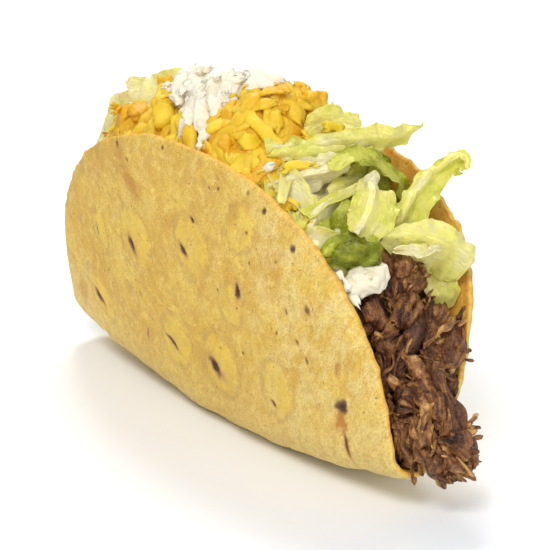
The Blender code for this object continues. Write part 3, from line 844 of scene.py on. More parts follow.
# Long smooth strands over them, in the same way.
BEEF_STRANDS = (
    ((3.5, -57, 39), (-7, -58.5, 25), 3, 0.05), ((7, -56, 39.5), (-6, -60, 27), 2.6, 0.15),
    ((0, -59, 37.5), (-6.5, -57, 29), 2.6, 0.1), ((0, -63, 34.5), (14, -58.5, 36.5), 1.8, 0.95),
    ((-3.5, -61.5, 32.5), (-1, -67.5, 28), 2.4, 0.6), ((1.5, -66, 30), (1, -75.5, 20.5), 3.2, 0.2),
    ((-3, -75.5, 15), (1, -77.5, 11), 2.2, 0.5), ((2.5, -74.5, 14), (0.5, -76.5, 10.5), 2.4, 0.45),
    ((3, -75, 13.5), (3, -77.5, 12), 2, 0.6), ((0.5, -74, 15), (-1.5, -75.5, 10.5), 2.6, 0.35),
    ((-5.5, -60, 28), (-4.5, -62, 27), 2.8, 0.75), ((5, -61, 35), (9, -59, 35), 1.5, 0.8),
    ((8, -60, 34.5), (14, -58.5, 37.5), 2, 0.1), ((8, -61, 31), (4, -66, 27), 1.6, 0.7),
    ((-5, -68, 20), (-5, -70, 12), 1.8, 0.9),
)
# Thin frayed strands: ends in millimetres.
BEEF_FRAYS = (
    ((-1, -76, 17), (3, -79, 15)), ((1, -77, 15), (3.6, -80, 13.5)), ((0, -76, 14), (2.5, -79.5, 11.5)),
    ((-1, -76, 12), (1, -78.5, 9.5)), ((-2, -73.5, 11), (-1, -76, 8.5)), ((-3, -72.5, 10.5), (-3, -75, 8)),
    ((1, -76, 17.5), (4, -78.5, 17)), ((2, -75, 20.5), (4.6, -76.6, 21.4)),
    ((2, -75, 20), (4.4, -77, 19.8)), ((12, -58, 36), (15, -59, 37.5)), ((11, -62, 31), (14, -62, 30.5)),
    ((11, -60, 33), (14.5, -60.5, 33.5)), ((10, -62, 30), (13, -62, 28.5)),
    ((5, -49, 47), (6.5, -50.5, 49.5)), ((7.5, -50, 46), (10.5, -50.5, 46.5)),
    ((3, -49, 47), (2, -50.5, 49.5)), ((-5, -66, 10), (-5, -69, 7)), ((-1, -75, 15), (1, -79, 10)),
)
CHUNK_STEPS = 26
FIBRE_STEPS = 18
FRAY_STEPS = 9
BODY = {"sides": 40, "ridge_count": 12, "ridges": 0.15, "lumps": 0.0011, "lump_size": 0.0032, "taper": 0.55,
        "ragged": 0.0011}
FIBRE = {"sides": 9, "ridge_count": 2.8, "ridges": 0.18, "lumps": 0.0003, "lump_size": 0.0013, "taper": 0.5,
         "ragged": 0.0004}
FRAY = {"sides": 6, "ridge_count": 1.6, "ridges": 0.2, "lumps": 0.00015, "lump_size": 0.0012, "taper": 0.2}
CRUMB = {"sides": 12, "rings": 9, "lumps": 0.0004, "lump_size": 0.0020, "ragged": 0.0011}


def fray(pile, rng, start, direction, length, tone, thick=None):
    """A thin curling fibre."""
    direction = unit(direction)
    curl = unit(np.cross(direction, rng.normal(size=3))) * length * rng.uniform(0.05, 0.3)
    share = np.linspace(0.0, 1.0, FRAY_STEPS)[:, None]
    path = wander(start + direction * length * share + curl * share ** 2, rng, 0.0003, 0.0022)
    thick = thick or rng.uniform(0.5, 1.0) * MM
    strand(pile, path, thick, thick * 0.8, curl, new_seed(rng), tone + rng.uniform(-0.15, 0.3), **FRAY)


def meat_fibre(pile, rng, path, span, side, normal, facing, width, tone):
    """One fibre that runs along a bundle's skin, twisting a little round it and leaving it at the ends."""
    turn = rng.uniform(0.0, 2 * math.pi)
    fibre = np.linspace(rng.uniform(-0.08, 0.30), rng.uniform(0.65, 1.08), FIBRE_STEPS)
    where = np.clip(fibre, 0.0, 1.0) * CHUNK_STEPS
    low = np.minimum(where.astype(int), CHUNK_STEPS - 1)
    base = mix(path[low], path[low + 1], (where - low)[:, None])
    base = base + span * (fibre - np.clip(fibre, 0.0, 1.0))[:, None]
    lift = width * rng.uniform(0.32, 0.43) * (1.0 + 0.15 * np.sin(np.linspace(0.0, math.pi, FIBRE_STEPS)))
    twist = turn + np.linspace(0.0, rng.uniform(-0.6, 0.6), FIBRE_STEPS)
    ring = side[low] * np.cos(twist)[:, None] + normal[low] * (np.sin(twist) * 0.9)[:, None]
    line = wander(base + ring * lift[:, None], rng, 0.0006, 0.0032)
    thick = rng.uniform(0.6, 1.6) * MM
    strand(pile, line, thick, thick * rng.uniform(0.6, 0.9), facing, new_seed(rng),
           tone + rng.uniform(-0.25, 0.30), **FIBRE)


def meat(pile, rng, start, end, width, tone, fibres=True):
    """A bundle of beef fibres round a darker body, fraying out of both ends."""
    start, end, width = np.array(start) * MM, np.array(end) * MM, width * MM
    span = end - start
    length = np.linalg.norm(span)
    down = span / length
    sideways = unit(np.cross(down, rng.normal(size=3)))
    sag = sideways * length * rng.uniform(-0.14, 0.14)
    share = np.linspace(0.0, 1.0, CHUNK_STEPS + 1)[:, None]
    path = wander(start + span * share + sag * 4 * share * (1 - share), rng, 0.0009, 0.004)
    facing = unit(np.cross(down, sideways) + rng.normal(size=3) * 0.2)
    side, normal = strand(pile, path, width * 0.92, width * 0.80, facing, new_seed(rng), tone, **BODY)
    for _ in range(int(2 + width / MM * 0.7) if fibres else 0):
        meat_fibre(pile, rng, path, span, side, normal, facing, width, tone)
    for tip, outward in ((start, -down), (end, down)):
        for _ in range(int(rng.integers(0, 2))):
            fray(pile, rng, tip - outward * 0.002 + rng.normal(size=3) * width * 0.2,
                 outward + rng.normal(size=3) * 0.5, rng.uniform(2.5, 4.5) * MM, tone)


def open_front(x, y, z, up):
    """Where the beef shows at the mouth."""
    return y < -0.050


def out_of_sight(x, y, z, up):
    """The beef at the narrow end and high in the mouth, behind the leaves."""
    return (y > 0.048) | (z > 0.040) & (y < -0.044) & (x < 0.006)


def held_back(points):
    """The beef's inside stays behind the loose pieces of its front tip."""
    points = np.array(points)
    points[:, 1] += 0.7 * np.maximum(0.0, -0.070 - points[:, 1])
    return points


def beef_front(rng):
    """Chunks, strands, frayed fibres and crumbs at the mouth."""
    pile = Pile()
    for chunk in BEEF_CHUNKS:
        meat(pile, rng, *chunk)
    for chunk in BEEF_STRANDS:
        meat(pile, rng, *chunk, fibres=False)
    for start, end in np.array(BEEF_FRAYS) * MM:
        span = end - start
        length = np.linalg.norm(span)
        for _ in range(2):
            fray(pile, rng, start + rng.normal(size=3) * 0.0006, span + rng.normal(size=3) * 0.0009,
                 length * rng.uniform(0.8, 1.05), rng.uniform(0.3, 0.7), rng.uniform(0.8, 1.5) * MM)
    for place, normal in zip(*skin_samples(rng, "shredded_beef", open_front, count=50, spacing=0.0016)):
        direction = along_skin(rng, normal, -0.3, 0.3)
        shred(pile, rng, place - normal * rng.uniform(0.0002, 0.0014), direction, normal,
              rng.uniform(0.5, 1.3) * MM, rng.uniform(0.8, 1.6) * MM, rng.uniform(0.5, 1.0), **CRUMB)
    for place, normal in zip(*skin_samples(rng, "shredded_beef", open_front, count=110, spacing=0.0010)):
        direction = along_skin(rng, normal, -0.2, 0.35)
        fray(pile, rng, place - normal * 0.0006, direction, rng.uniform(2.0, 6.0) * MM, rng.uniform(0.2, 0.7),
             rng.uniform(0.3, 0.6) * MM)
    pile.build("beef_front", beef_material("beef_strands"), "beef", "shredded_beef")


def beef_back(rng):
    """Plainer chunks where the beef is hard to see."""
    pile = Pile()
    for place, normal in zip(*skin_samples(rng, "shredded_beef", out_of_sight, count=26, spacing=0.0045)):
        direction = unit(np.cross(normal, rng.normal(size=3))) * rng.uniform(3.0, 6.0) * MM
        middle = place - normal * 0.002
        meat(pile, rng, (middle - direction) / MM, (middle + direction) / MM, rng.uniform(4.0, 6.5),
             rng.uniform(0.2, 0.6))
    pile.build("beef_back", beef_material("beef_strands_back"), "beef", "shredded_beef")


def beef():
    rng = np.random.default_rng(RANDOM_SEED)
    beef_front(rng)
    beef_back(rng)
    # The beef's inside is painted dark, as shade in the gaps between the chunks.
    core("shredded_beef", beef_material("beef_inside_painted_shade"), "beef", shrink=0.0034, relief=0.0012,
         relief_size=0.0035, settle=held_back)


def beef_material(name):
    """Brown meat with fine fibres along each strand, lighter on its ends; its ridges are painted lighter and
    its grooves darker, as painted light and shade of their relief.
    """
    s = Shader(name)
    parts, place = s.piece_inputs()
    fibres = s.noise(s.attribute("grain"), 1300.0, 3.0, 0.6)
    pits = s.noise(place, 1300.0, 3.0, 0.6)
    # The second tone value is the ridge height: it paints the grooves darker and the ridges lighter, painted
    # shade and light.
    level = s.total(-1.93, (parts["X"], 0.78), (parts["Y"], 0.20), (s.noise(place, 260.0, 4.0, 0.65), 1.3),
                    (fibres, 1.5), (pits, 0.9))
    colour = s.painted(
        (0.032, 0.0085, 0.003),
        (s.ranged(level, -0.25, 0.16), (0.125, 0.042, 0.012)),
        (s.ranged(level, 0.12, 0.46), (0.29, 0.120, 0.033)),
        (s.ranged(level, 0.46, 0.92), (0.66, 0.37, 0.12)))
    normal = s.bump(s.total(0.0, (fibres, 1.0), (pits, 0.7)), 0.0009)
    return s.moist(colour, normal, 0.42, 0.45, glow=0.05, radius=(0.002, 0.0008, 0.0005))


# ---------------------------------------------------------------- lettuce

TO_CAMERA = np.array([-0.52, -0.79, 0.33])
# Leaves: centre line with width in millimetres, tone (0 cream, 1 green) and twist in degrees at both ends.
# The first nine are the frame's leaves; the others fill the spaces between them.
LEAVES = (
    ((6, -42.5, 52, 6), (10, -42.5, 55, 7.5), (14.5, -41, 58.5, 7), (19.5, -39.5, 61.5, 6),
     (24, -38.5, 63.7, 5), (28, -38.5, 65.5, 5.5), (29.5, -40, 64.5, 3), 0.36, 25, -15),
    ((1, -46, 54, 3), (6, -49, 53.5, 7.5), (11, -51.5, 52, 10.5), (15, -53.5, 49.5, 11),
     (18.5, -56, 46.5, 8.5), 0.15, -10, 20),
    ((7, -35, 62.5, 5), (5, -39, 61.5, 9), (2.5, -42.5, 59.5, 11), (0, -44, 57, 10), (-3, -44, 55, 5),
     0.3, 20, -15),
    ((-13, -48.5, 54, 4), (-9, -50.5, 54, 6), (-5, -51, 54, 6.5), (-1, -50, 53.5, 4), 0.95, -15, 30),
    ((-2, -29.5, 67.5, 3), (4, -31, 69.5, 4.5), (10, -32, 67.5, 5.5), (15, -32, 63, 6), (18, -32, 57.5, 4),
     0.58, 10, 30),
    ((-10, -19, 70, 5), (-3, -22.5, 69.2, 6), (4, -25, 69.8, 5), (11, -27.5, 70.2, 5.5),
     (18, -29, 70.3, 6.5), (25, -29, 72.3, 2.5), 0.22, 25, -30),
    ((1, -17, 72.5, 4), (5, -19, 73.5, 6), (10, -21, 73, 6), (14, -22, 71.5, 4), 0.2, 0, 30),
    ((-6.5, 56, 45, 4), (-6.5, 54, 53, 6), (-6, 51.5, 61, 6), (-5.5, 49.5, 68, 3.5), -0.25, 0, 25),
    ((-9.5, 41, 70, 6.5), (-6, 38, 70.5, 9), (-2.5, 35.5, 71.5, 9.5), (1, 33, 71.5, 8), -0.05, 0, 5),
    ((-12, -22.5, 62.5, 4), (-8, -24.5, 64, 7), (-4, -26.5, 65.4, 8), (0, -29, 67, 7), (4, -30.5, 68.4, 4),
     -0.2, 10, -10),
    ((4, -33.5, 62, 3), (-1, -34, 60.5, 7), (-6, -34.5, 57.5, 9), (-10, -36.5, 55.5, 6), 0.02, 0, 20),
    ((8, -36, 64.5, 3), (6, -36.5, 63.5, 4), (3, -38, 60.5, 4.5), (-1, -39, 57, 4.5), (-6, -40, 54.5, 4),
     -0.2, 20, -30),
    ((2, -49, 52.7, 1.5), (5, -51.5, 52.7, 2.6), (8.5, -53, 52.3, 3), (11.5, -53.5, 52.6, 1.5),
     -0.2, 10, 30),
    ((-13.5, -46.5, 52.5, 3), (-12.5, -47.5, 54.5, 4), (-10.5, -48.5, 55.5, 4.5), (-8.5, -49.5, 54.5, 3),
     0.75, -30, 30),
    ((-9, -48, 51, 3), (-6, -49.5, 52, 4.5), (-3, -50, 54, 4.5), (-1, -49, 55.5, 3), 0.8, 35, -35),
    ((-4, -37, 59, 5), (-3, -38.5, 57, 7), (-4, -40, 55, 7), (-6, -41, 53.5, 4), 0.72, 20, -20),
    ((-11, -20, 68.5, 3), (-6, -22.5, 67.8, 4), (0, -25, 68, 4), (6, -27, 69, 3), 0.35, -30, 20),
    ((13, -27, 68, 4), (14, -27, 63, 7), (12, -27, 58, 6), 0.7, 10, 20),
    ((7, -28.5, 67, 4), (9, -28.5, 63, 6), (8, -29, 58, 6), 0.62, -20, 10),
    ((3, -48, 44, 4), (6, -47.5, 46, 6), (10, -46.5, 46.5, 6), (13, -46, 43, 5), 0.25, 0, 10),
    ((15.5, -50, 36, 5), (15.5, -50, 40, 7), (14.5, -49, 44, 6), 0.22, 0, 15),
    ((-3, -42, 52, 5), (2, -43, 53, 7), (7, -43, 55, 7), (11, -42, 57, 5), 0.25, 0, 15),
    ((-14, -38, 55, 4), (-11, -40, 55, 6), (-7, -43, 54, 6), (-3, -45, 53, 4), 0.0, 10, 20),
    ((-15, -44, 50, 3), (-12, -46, 50, 5), (-8, -47.5, 49.5, 5), (-4, -48, 49, 4), 0.65, 0, 20),
)
CRISP_ANGLE = math.radians(48.0)
# Which leaves, by their place in the list, show a thick pale rib, and where across them.
RIB_PLACES = {0: -0.6, 2: 0.15, 9: 0.0, 10: 0.35}
NO_RIB = 9.0
# How much more than the others a leaf is ruffled.
RUFFLES = {0: 1.3, 3: 1.8, 5: 1.7, 6: 1.5, 12: 1.6}
# Knots of a shred: how far along it from its middle, and its width there, as shares.
SHRED_SHAPE = ((-1.0, 0.5), (-0.4, 1.0), (0.3, 0.95), (1.0, 0.5))


def leaf_lift(rng, along, across, place, length, width, ruffle, seed):
    """How far each point of a leaf stands off its plane: ruffled edges, blisters and two soft folds."""
    frill = np.abs(across) ** 1.6
    phase = rng.uniform(0.0, 6.0) + np.where(across > 0.0, 1.9, 0.0)
    turns = along * length * 2 * math.pi
    swell = ruffle * np.minimum(width * 0.13, 0.0010)
    lift = swell * frill * np.sin(turns / 0.0070 + phase + 3.0 * waves(place, 0.010, seed + 2))
    lift = lift + swell * 0.30 * frill ** 3 * np.sin(turns / 0.0024 + 4.0 * phase)
    lift = lift + 0.0004 * ruffle * waves(place, 0.0045, seed + 3) + 0.00010 * waves(place, 0.0014, seed + 4)
    for fold_place in rng.uniform(-0.7, 0.7, 2):
        slope = rng.uniform(0.10, 0.30) * rng.choice([-1.0, 1.0])
        lift = lift + width * slope * (np.sqrt((across - fold_place) ** 2 + 0.003) - 0.4)
    return lift


def leaf_sheet(pile, rng, knots, tone, twist_start, twist_end, facing=TO_CAMERA, rows=44, columns=19,
               ruffle=1.0, rib_place=NO_RIB):
    """A thin ruffled leaf along its centre line."""
    line = smooth_path(np.array(knots) * MM, rows)
    width = np.maximum(line[:, 3:], 0.0012)
    path = wander(line[:, :3], rng, 0.0007, 0.011)
    tangent, side, normal = path_frames(path, facing)
    along = np.linspace(0.0, 1.0, rows)[:, None]
    twist = np.radians(mix(twist_start, twist_end, along) + 14.0 * np.sin(along * 5.0 + rng.uniform(0, 6)))
    across = side * np.cos(twist) + normal * np.sin(twist)
    out = normal * np.cos(twist) - side * np.sin(twist)
    length = np.linalg.norm(np.diff(path, axis=0), axis=1).sum()
    u_grid, v_grid = np.meshgrid(along[:, 0], np.linspace(-1.0, 1.0, columns), indexing="ij")
    place = stacked(u_grid * length, v_grid * 0.004, np.full_like(u_grid, rng.uniform(0, 9)))
    seed = int(rng.integers(1, 80))
    edge = 1.0 + 0.13 * waves(place, 0.0050, seed) + 0.10 * waves(place, 0.0013, seed + 1)
    ends = np.sqrt(np.clip(np.minimum(along, 1.0 - along) / 0.05, 0.5, 1.0))
    reach = v_grid * (width / 2) * edge * ends
    rib = np.exp(-((v_grid - rib_place) / 0.20) ** 2)
    lift = leaf_lift(rng, u_grid, v_grid, place, length, width, ruffle, seed) + 0.0006 * rib
    skew = rng.uniform(-0.7, 0.7) * (np.abs(2.0 * u_grid - 1.0) ** 5) * np.sign(u_grid - 0.5)
    top = path[:, None] + across[:, None] * reach[..., None] + out[:, None] * lift[..., None]
    top = top + tangent[:, None] * (skew * reach)[..., None]
    grid_normal = unit(np.cross(np.gradient(top, axis=0), np.gradient(top, axis=1)))
    under = top - grid_normal * mix(0.00022, 0.0011, rib)[..., None]
    points = keep_inside(np.concatenate([top.reshape(-1, 3), under.reshape(-1, 3)]))
    count = rows * columns
    index = np.arange(count).reshape(rows, columns)
    quads, loop = grid_quads(index), grid_loop(index)
    faces = np.concatenate([quads, quads[:, ::-1] + count, band(loop, loop + count)[:, ::-1]])
    greener = tone - 0.03 + 0.14 * np.abs(v_grid) ** 4 - 0.35 * rib
    tones = stacked(greener, v_grid * width / 0.008, u_grid * length / 0.01).reshape(-1, 3)
    pile.add(points, faces, np.concatenate([tones, tones]))


def lettuce_skin(x, y, z, up):
    """The lettuce's top, and its sides at both ends."""
    return (z > 0.046) | (np.abs(y) > 0.040)


def lettuce_leaves():
    """The leaves of the list, joined into one piece."""
    rng = np.random.default_rng(RANDOM_SEED + 1)
    pile = Pile()
    for number, (*knots, tone, twist_start, twist_end) in enumerate(LEAVES):
        leaf_sheet(pile, rng, knots, tone, twist_start, twist_end, ruffle=RUFFLES.get(number, 1.0),
                   rib_place=RIB_PLACES.get(number, NO_RIB))
    leaves = pile.build("lettuce_leaves", lettuce_material("lettuce_leaf"), "lettuce", "lettuce_blade",
                        "lettuce_wing", "lettuce_pale_leaf", "lettuce_dark_leaf", "lettuce_green_arc",
                        "lettuce_long_strip", "lettuce_top_curl", "lettuce_rear_leaf", "lettuce_tall_leaf")
    leaves.data.set_sharp_from_angle(angle=CRISP_ANGLE)


def lettuce_shreds():
    """Small shreds on the heap, clear of the leaves and of the cheddar."""
    rng = np.random.default_rng(RANDOM_SEED + 5)
    pile = Pile()
    for place, normal in zip(*skin_samples(rng, "shredded_lettuce", lettuce_skin, count=95, spacing=0.0042)):
        x, y, z = place
        on_cheddar = z > 0.055 and x < 0.002 and y > -0.020
        among_leaves = y < -0.040
        if on_cheddar or among_leaves:
            continue
        direction = unit(np.cross(normal, rng.normal(size=3)))
        length = rng.uniform(7.0, 15.0) * MM * (0.6 if y > 0.045 else 1.0)
        width = rng.uniform(2.5, 6.5)
        bend = rng.uniform(0.1, 0.3)
        knots = []
        for share, taper in SHRED_SHAPE:
            spot = place + direction * length * share - normal * (0.0006 + bend * length * share * share)
            knots.append((*(spot / MM), width * taper))
        through_cheddar = abs(y - 0.010) < 0.025 and max(knot[2] for knot in knots) > 71.0
        if through_cheddar:
            continue
        tone = float(np.clip(rng.beta(1.3, 2.6), 0.0, 1.0))
        leaf_sheet(pile, rng, knots, tone, rng.uniform(-40, 40), rng.uniform(-40, 40), facing=normal,
                   rows=20, columns=8, ruffle=0.8)
    shreds = pile.build("lettuce_shreds", lettuce_material("lettuce_shred"), "lettuce", "shredded_lettuce")
    shreds.data.set_sharp_from_angle(angle=CRISP_ANGLE)


def lettuce():
    lettuce_leaves()
    lettuce_shreds()
    core("shredded_lettuce", lettuce_material("lettuce_inside"), "lettuce", shrink=0.0032, relief=0.0010,
         relief_size=0.004)


def lettuce_material(name):
    """Cream to green leaf with pale veins and a soft wet gloss."""
    s = Shader(name)
    parts, place = s.piece_inputs()
    leaf_place = s.node("ShaderNodeCombineXYZ", {"X": s.times(parts["Y"], 2.6), "Y": parts["Z"]})
    net = s.noise(leaf_place.outputs["Vector"], 3.4, 3.0, 0.6)
    veins = s.ranged(s.math("ABSOLUTE", s.math("SUBTRACT", net, 0.5)), 0.0, 0.04, 1.0, 0.0)
    level = s.total(-0.6, (parts["X"], 1.0), (s.noise(place, 170.0, 3.0, 0.6), 1.2), (veins, -0.20))
    colour = s.painted(
        (0.88, 0.80, 0.44),
        (s.ranged(level, -0.25, 0.16), (0.87, 0.79, 0.21)),
        (s.ranged(level, 0.12, 0.44), (0.72, 0.72, 0.12)),
        (s.ranged(level, 0.42, 0.74), (0.28, 0.31, 0.010)),
        (s.ranged(level, 0.72, 1.05), (0.090, 0.100, 0.002)))
    height = s.total(0.0, (s.noise(place, 700.0, 2.0), 0.4), (veins, -0.9))
    normal = s.bump(height, 0.0003, 0.6)
    return s.moist(colour, normal, 0.36, 0.33, glow=0.35, radius=(0.0011, 0.0011, 0.0005))


# ---------------------------------------------------------------- cheeses

# Large lumps of cheddar: both ends and the width in millimetres, tone (0 orange, 1 yellow).
CHEDDAR_LUMPS = (
    ((5, -8, 79.5), (7.5, -9, 77), 4.2, 0.2), ((8, -7, 78.5), (9.5, -10, 74.5), 3.8, 0.5),
    ((5, -11, 78), (8, -13, 74), 4, 0.3), ((8, -11, 76.5), (8.5, -13.5, 72), 3.8, 0),
    ((-4, 32, 70), (-3.5, 34.5, 73.5), 2.1, 0.2), ((-4, -12, 77), (-6, -16, 72), 3.6, 0.6),
    ((0, -10, 79), (-3, -14, 76), 3.8, 0.3), ((-13, 19, 72), (-14.5, 15, 68.5), 4.4, 0.8),
    ((-11.5, 21, 73.5), (-13.5, 17, 71), 4, 0.5), ((-14.5, 13, 70), (-15.5, 9, 67), 3.8, 1),
    ((-10, 22, 75.5), (-12.5, 19, 73), 3.4, 0.7), ((-13.5, 10, 71), (-15, 6, 68.5), 2.8, 0.9),
    ((2.5, -22, 73.4), (8.5, -23.5, 73), 2.8, 1), ((-10, -24.5, 67.2), (-3.5, -27.5, 68), 2.6, 1),
    ((-13.5, -22, 62.5), (-13, -26, 60.5), 3.2, 0.9), ((-12.5, -27, 60.5), (-12, -30.5, 59), 3, 0.8),
    ((-10.5, -35, 58.5), (-10.5, -37.5, 55.5), 2.8, 0.9), ((-14, -17, 65), (-13.5, -21, 63.5), 3, 0.7),
)
# White flakes outside the clumps: both ends and the width in millimetres.
WHITE_FLAKES = (
    ((-8, 18, 78.5), (-13, 14, 74.5), 3), ((-4, 19, 78.8), (-10, 16, 76.5), 3.2),
    ((-6, 21, 77.5), (-12, 18, 74.5), 2.4), ((-2, 18, 79.5), (-8, 17, 78), 2.6),
    ((-14, 0, 72), (-17, -6, 68), 2.2), ((-12, -2, 71.5), (-14.5, -9, 68), 2.4),
    ((-13, 2, 73), (-16, -3, 70), 2.6), ((-10, -3, 72), (-12.5, -9, 68), 2),
    ((-3, -3, 81.4), (1, -8.5, 80.4), 4.2), ((-4.5, -5, 80.8), (-1, -9.5, 79.8), 2.6),
    ((1, 0, 80.5), (5, -3, 79), 2.6), ((-15, 4, 75), (-15.4, 2.2, 70.2), 3.4),
    ((-12.8, 2.8, 75.9), (-13.3, 0.8, 70.2), 3.8), ((-10.7, 1.8, 76.8), (-11.2, -0.3, 71.1), 3.6),
    ((-8.8, 0.9, 77.7), (-9.1, -0.5, 73.7), 3.2), ((-13.5, -21.5, 64), (-13, -23, 63.2), 1.4),
    ((-12.5, -21, 66.3), (-11.5, -23, 66.3), 1.7), ((-12.3, -48.5, 51), (-12, -52, 46.5), 2.2),
    ((-12, -51, 47.5), (-11, -54, 43.5), 1.8),
)
# Clumps of white cheese: node, how many shreds, their spacing in metres, the longest in millimetres.
WHITE_CLUMPS = (("white_cheese_top", 150, 0.0013, 3.8), ("white_cheese_front", 14, 0.0012, 1.3))
CHEDDAR_SHRED = {"sides": 20, "rings": 17, "lumps": 0.0007, "lump_size": 0.0030, "ragged": 0.0012}
CHEDDAR_LUMP = {"sides": 24, "ridges": 0.14, "lumps": 0.0009, "lump_size": 0.0026, "square": 0.6,
                "taper": 0.6, "ragged": 0.0012}
WHITE_SHRED = {"sides": 18, "rings": 13, "lumps": 0.0004, "lump_size": 0.0016, "ragged": 0.0010}
WHITE_FLAKE = {"sides": 18, "ridges": 0.18, "lumps": 0.0004, "lump_size": 0.0015, "square": 0.5,
               "taper": 0.5, "ragged": 0.0012}


def straight(rng, start, end, steps):
    """A path between two places in millimetres that wanders a little."""
    return wander(np.linspace(start, end, steps) * MM, rng, 0.0008, 0.004)


def cheddar_skin(x, y, z, up):
    """The upper sides of the cheddar heap that stand out of the shell."""
    return (up > -0.2) & (z > 0.050)


def cheddar():
    """Shreds lying downhill all over the heap, the larger lumps, and the inside."""
    rng = np.random.default_rng(RANDOM_SEED + 2)
    pile = Pile()
    samples = skin_samples(rng, "shredded_cheddar", cheddar_skin, count=230, spacing=0.0023)
    for number, (place, normal) in enumerate(zip(*samples)):
        downhill = np.array([0.0, 0.0, -1.0]) + normal * normal[2]
        direction = np.cross(normal, rng.normal(size=3)) + downhill * 1.2 + normal * rng.uniform(-0.2, 0.3)
        long = rng.uniform(3.5, 7.0) if number % 3 else rng.uniform(2.0, 3.5)
        shred(pile, rng, place - normal * rng.uniform(0.0004, 0.0014), unit(direction), normal, long * MM,
              rng.uniform(2.1, 4.3) * MM, rng.uniform(0.0, 1.0), **CHEDDAR_SHRED)
    for start, end, width, tone in CHEDDAR_LUMPS:
        width = width * MM
        strand(pile, straight(rng, start, end, 14), width, width * 0.6, TO_CAMERA, new_seed(rng), tone,
               **CHEDDAR_LUMP)
    pile.build("cheddar_shreds", cheddar_material("cheddar_shred"), "cheddar", "shredded_cheddar")
    core("shredded_cheddar", cheddar_material("cheddar_inside"), "cheddar", shrink=0.0013, relief=0.0007,
         relief_size=0.0026, cuts=3)


def cheddar_material(name):
    """Waxy cheddar between orange and yellow."""
    s = Shader(name)
    parts, place = s.piece_inputs()
    colour = s.painted(
        (0.75, 0.39, 0.010),
        (s.ranged(parts["X"], 0.0, 1.0), (0.83, 0.57, 0.028)),
        (s.ranged(s.noise(place, 260.0, 3.0, 0.6), 0.46, 0.70, 0.0, 0.7), (0.88, 0.655, 0.074)))
    normal = s.bump(s.noise(place, 1100.0, 2.0), 0.0003, 0.6)
    return s.moist(colour, normal, 0.5, 0.35, glow=0.12, radius=(0.0026, 0.0020, 0.0008))


def slumped(points):
    """The top clump sags toward the front and is narrow at the foot of its rear."""
    points = np.array(points)
    points[:, 2] -= 0.0006 + 0.27 * np.maximum(0.0, 0.011 - points[:, 1])
    rear = np.clip((points[:, 1] - 0.006) / 0.008, 0.0, 1.0)
    points[:, 0] += 0.75 * rear * np.maximum(0.0, -0.009 - points[:, 0])
    return points


def upper_side(x, y, z, up):
    """All but the underside of a clump."""
    return up > -0.5


def white_cheese():
    """Short shreds all over both clumps, the flakes outside them, and the insides."""
    rng = np.random.default_rng(RANDOM_SEED + 3)
    pile = Pile()
    for name, count, spacing, longest in WHITE_CLUMPS:
        places, normals = skin_samples(rng, name, upper_side, count, spacing)
        front = name == "white_cheese_front"
        places = places if front else slumped(places)
        for number, (place, normal) in enumerate(zip(places, normals)):
            direction = along_skin(rng, normal, -0.25, 0.12)
            long = rng.uniform(0.5, 1.0) * longest if number % 3 else rng.uniform(0.5, 1.2)
            tone = rng.uniform(-1.0, -0.3) if front else rng.uniform(0.0, 1.0)
            shred(pile, rng, place - normal * rng.uniform(0.0004, 0.0010), direction, normal, long * MM,
                  rng.uniform(1.5, 2.9) * MM * min(1.0, longest / 2.0), tone, **WHITE_SHRED)
    for start, end, width in WHITE_FLAKES:
        width = width * MM
        strand(pile, straight(rng, start, end, 12), width, width * 0.4, TO_CAMERA, new_seed(rng),
               rng.uniform(0.3, 1.0), **WHITE_FLAKE)
    pile.build("white_cheese_shreds", white_material("white_cheese"), "white_cheese", "white_cheese_top",
               "white_cheese_front")
    core("white_cheese_top", white_material("white_cheese_inside"), "white_cheese", shrink=0.0001,
         relief=0.0004, relief_size=0.0020, cuts=4, settle=slumped)
    core("white_cheese_front", white_material("white_cheese_inside_front"), "white_cheese", shrink=0.0001,
         relief=0.0004, relief_size=0.0022, cuts=4)


def white_material(name):
    """Dull white cheese, creamier in the front clump."""
    s = Shader(name)
    parts, place = s.piece_inputs()
    colour = s.painted(
        (0.80, 0.70, 0.45),
        (s.ranged(parts["X"], -1.0, 0.0), (0.84, 0.78, 0.61)),
        (s.ranged(parts["X"], 0.0, 1.0), (0.88, 0.83, 0.69)))
    normal = s.bump(s.noise(place, 1000.0, 3.0), 0.0002, 0.6)
    return s.moist(colour, normal, 0.75, 0.2, glow=0.14, radius=(0.0010, 0.0010, 0.0009))


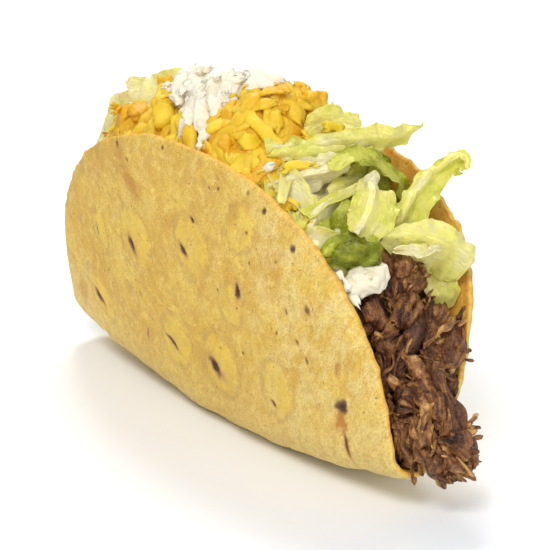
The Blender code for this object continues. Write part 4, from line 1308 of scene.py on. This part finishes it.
# ---------------------------------------------------------------- studio

CAMERA_PLACE = Vector((-0.28892, -0.42771, 0.20835))
CAMERA_AIM = Vector((0.0032, -0.0032, 0.03375))
CAMERA_LENS = 153.7
LIGHT_AIM = Vector((0.0, 0.0, 0.04))
SKY_STRENGTH = 0.44
FLOOR_HALF = 4.0
# Round lights: name, place and size in metres, power in watts.
LIGHTS = (("key", (-0.55, -0.45, 0.9), 0.45, 5.6), ("top", (0.34, 0.58, 0.95), 0.40, 6.4),
          ("fill", (-0.3, -1.1, 0.5), 0.8, 4.2))


def aimed(name, data, place, aim):
    """An object that looks from its place at an aim."""
    item = bpy.data.objects.new(name, data)
    item.location = place
    item.rotation_mode = "QUATERNION"
    item.rotation_quaternion = (aim - Vector(place)).to_track_quat("-Z", "Y")
    bpy.context.scene.collection.objects.link(item)
    return item


def studio():
    """A pale floor, soft light and the camera."""
    corners = [(x * FLOOR_HALF, y * FLOOR_HALF, 0.0) for x, y in ((-1, -1), (1, -1), (1, 1), (-1, 1))]
    pale = Shader("pale_floor").finish(Base_Color=(0.945, 0.96, 0.99), Roughness=0.9, Specular_IOR_Level=0.0)
    floor = add_mesh("floor", corners, [(0, 1, 2, 3)], pale)
    world = bpy.data.worlds.new("soft_white")
    world.use_nodes = True
    background = world.node_tree.nodes["Background"]
    background.inputs["Color"].default_value = (1.0, 1.0, 1.0, 1.0)
    background.inputs["Strength"].default_value = SKY_STRENGTH
    bpy.context.scene.world = world
    for name, place, size, power in LIGHTS:
        lamp = bpy.data.lights.new(name, "AREA")
        lamp.shape = "DISK"
        lamp.size = size
        lamp.energy = power
        aimed(name, lamp, place, LIGHT_AIM)

    camera = aimed("camera", bpy.data.cameras.new("camera"), CAMERA_PLACE, CAMERA_AIM)
    camera.data.lens = CAMERA_LENS
    camera.data.sensor_width = 36.0
    camera.data.clip_start = 0.02
    bpy.context.scene.camera = camera
    bpy.context.scene.view_settings.view_transform = "Standard"


studio()
tortilla()
beef()
lettuce()
cheddar()
white_cheese()
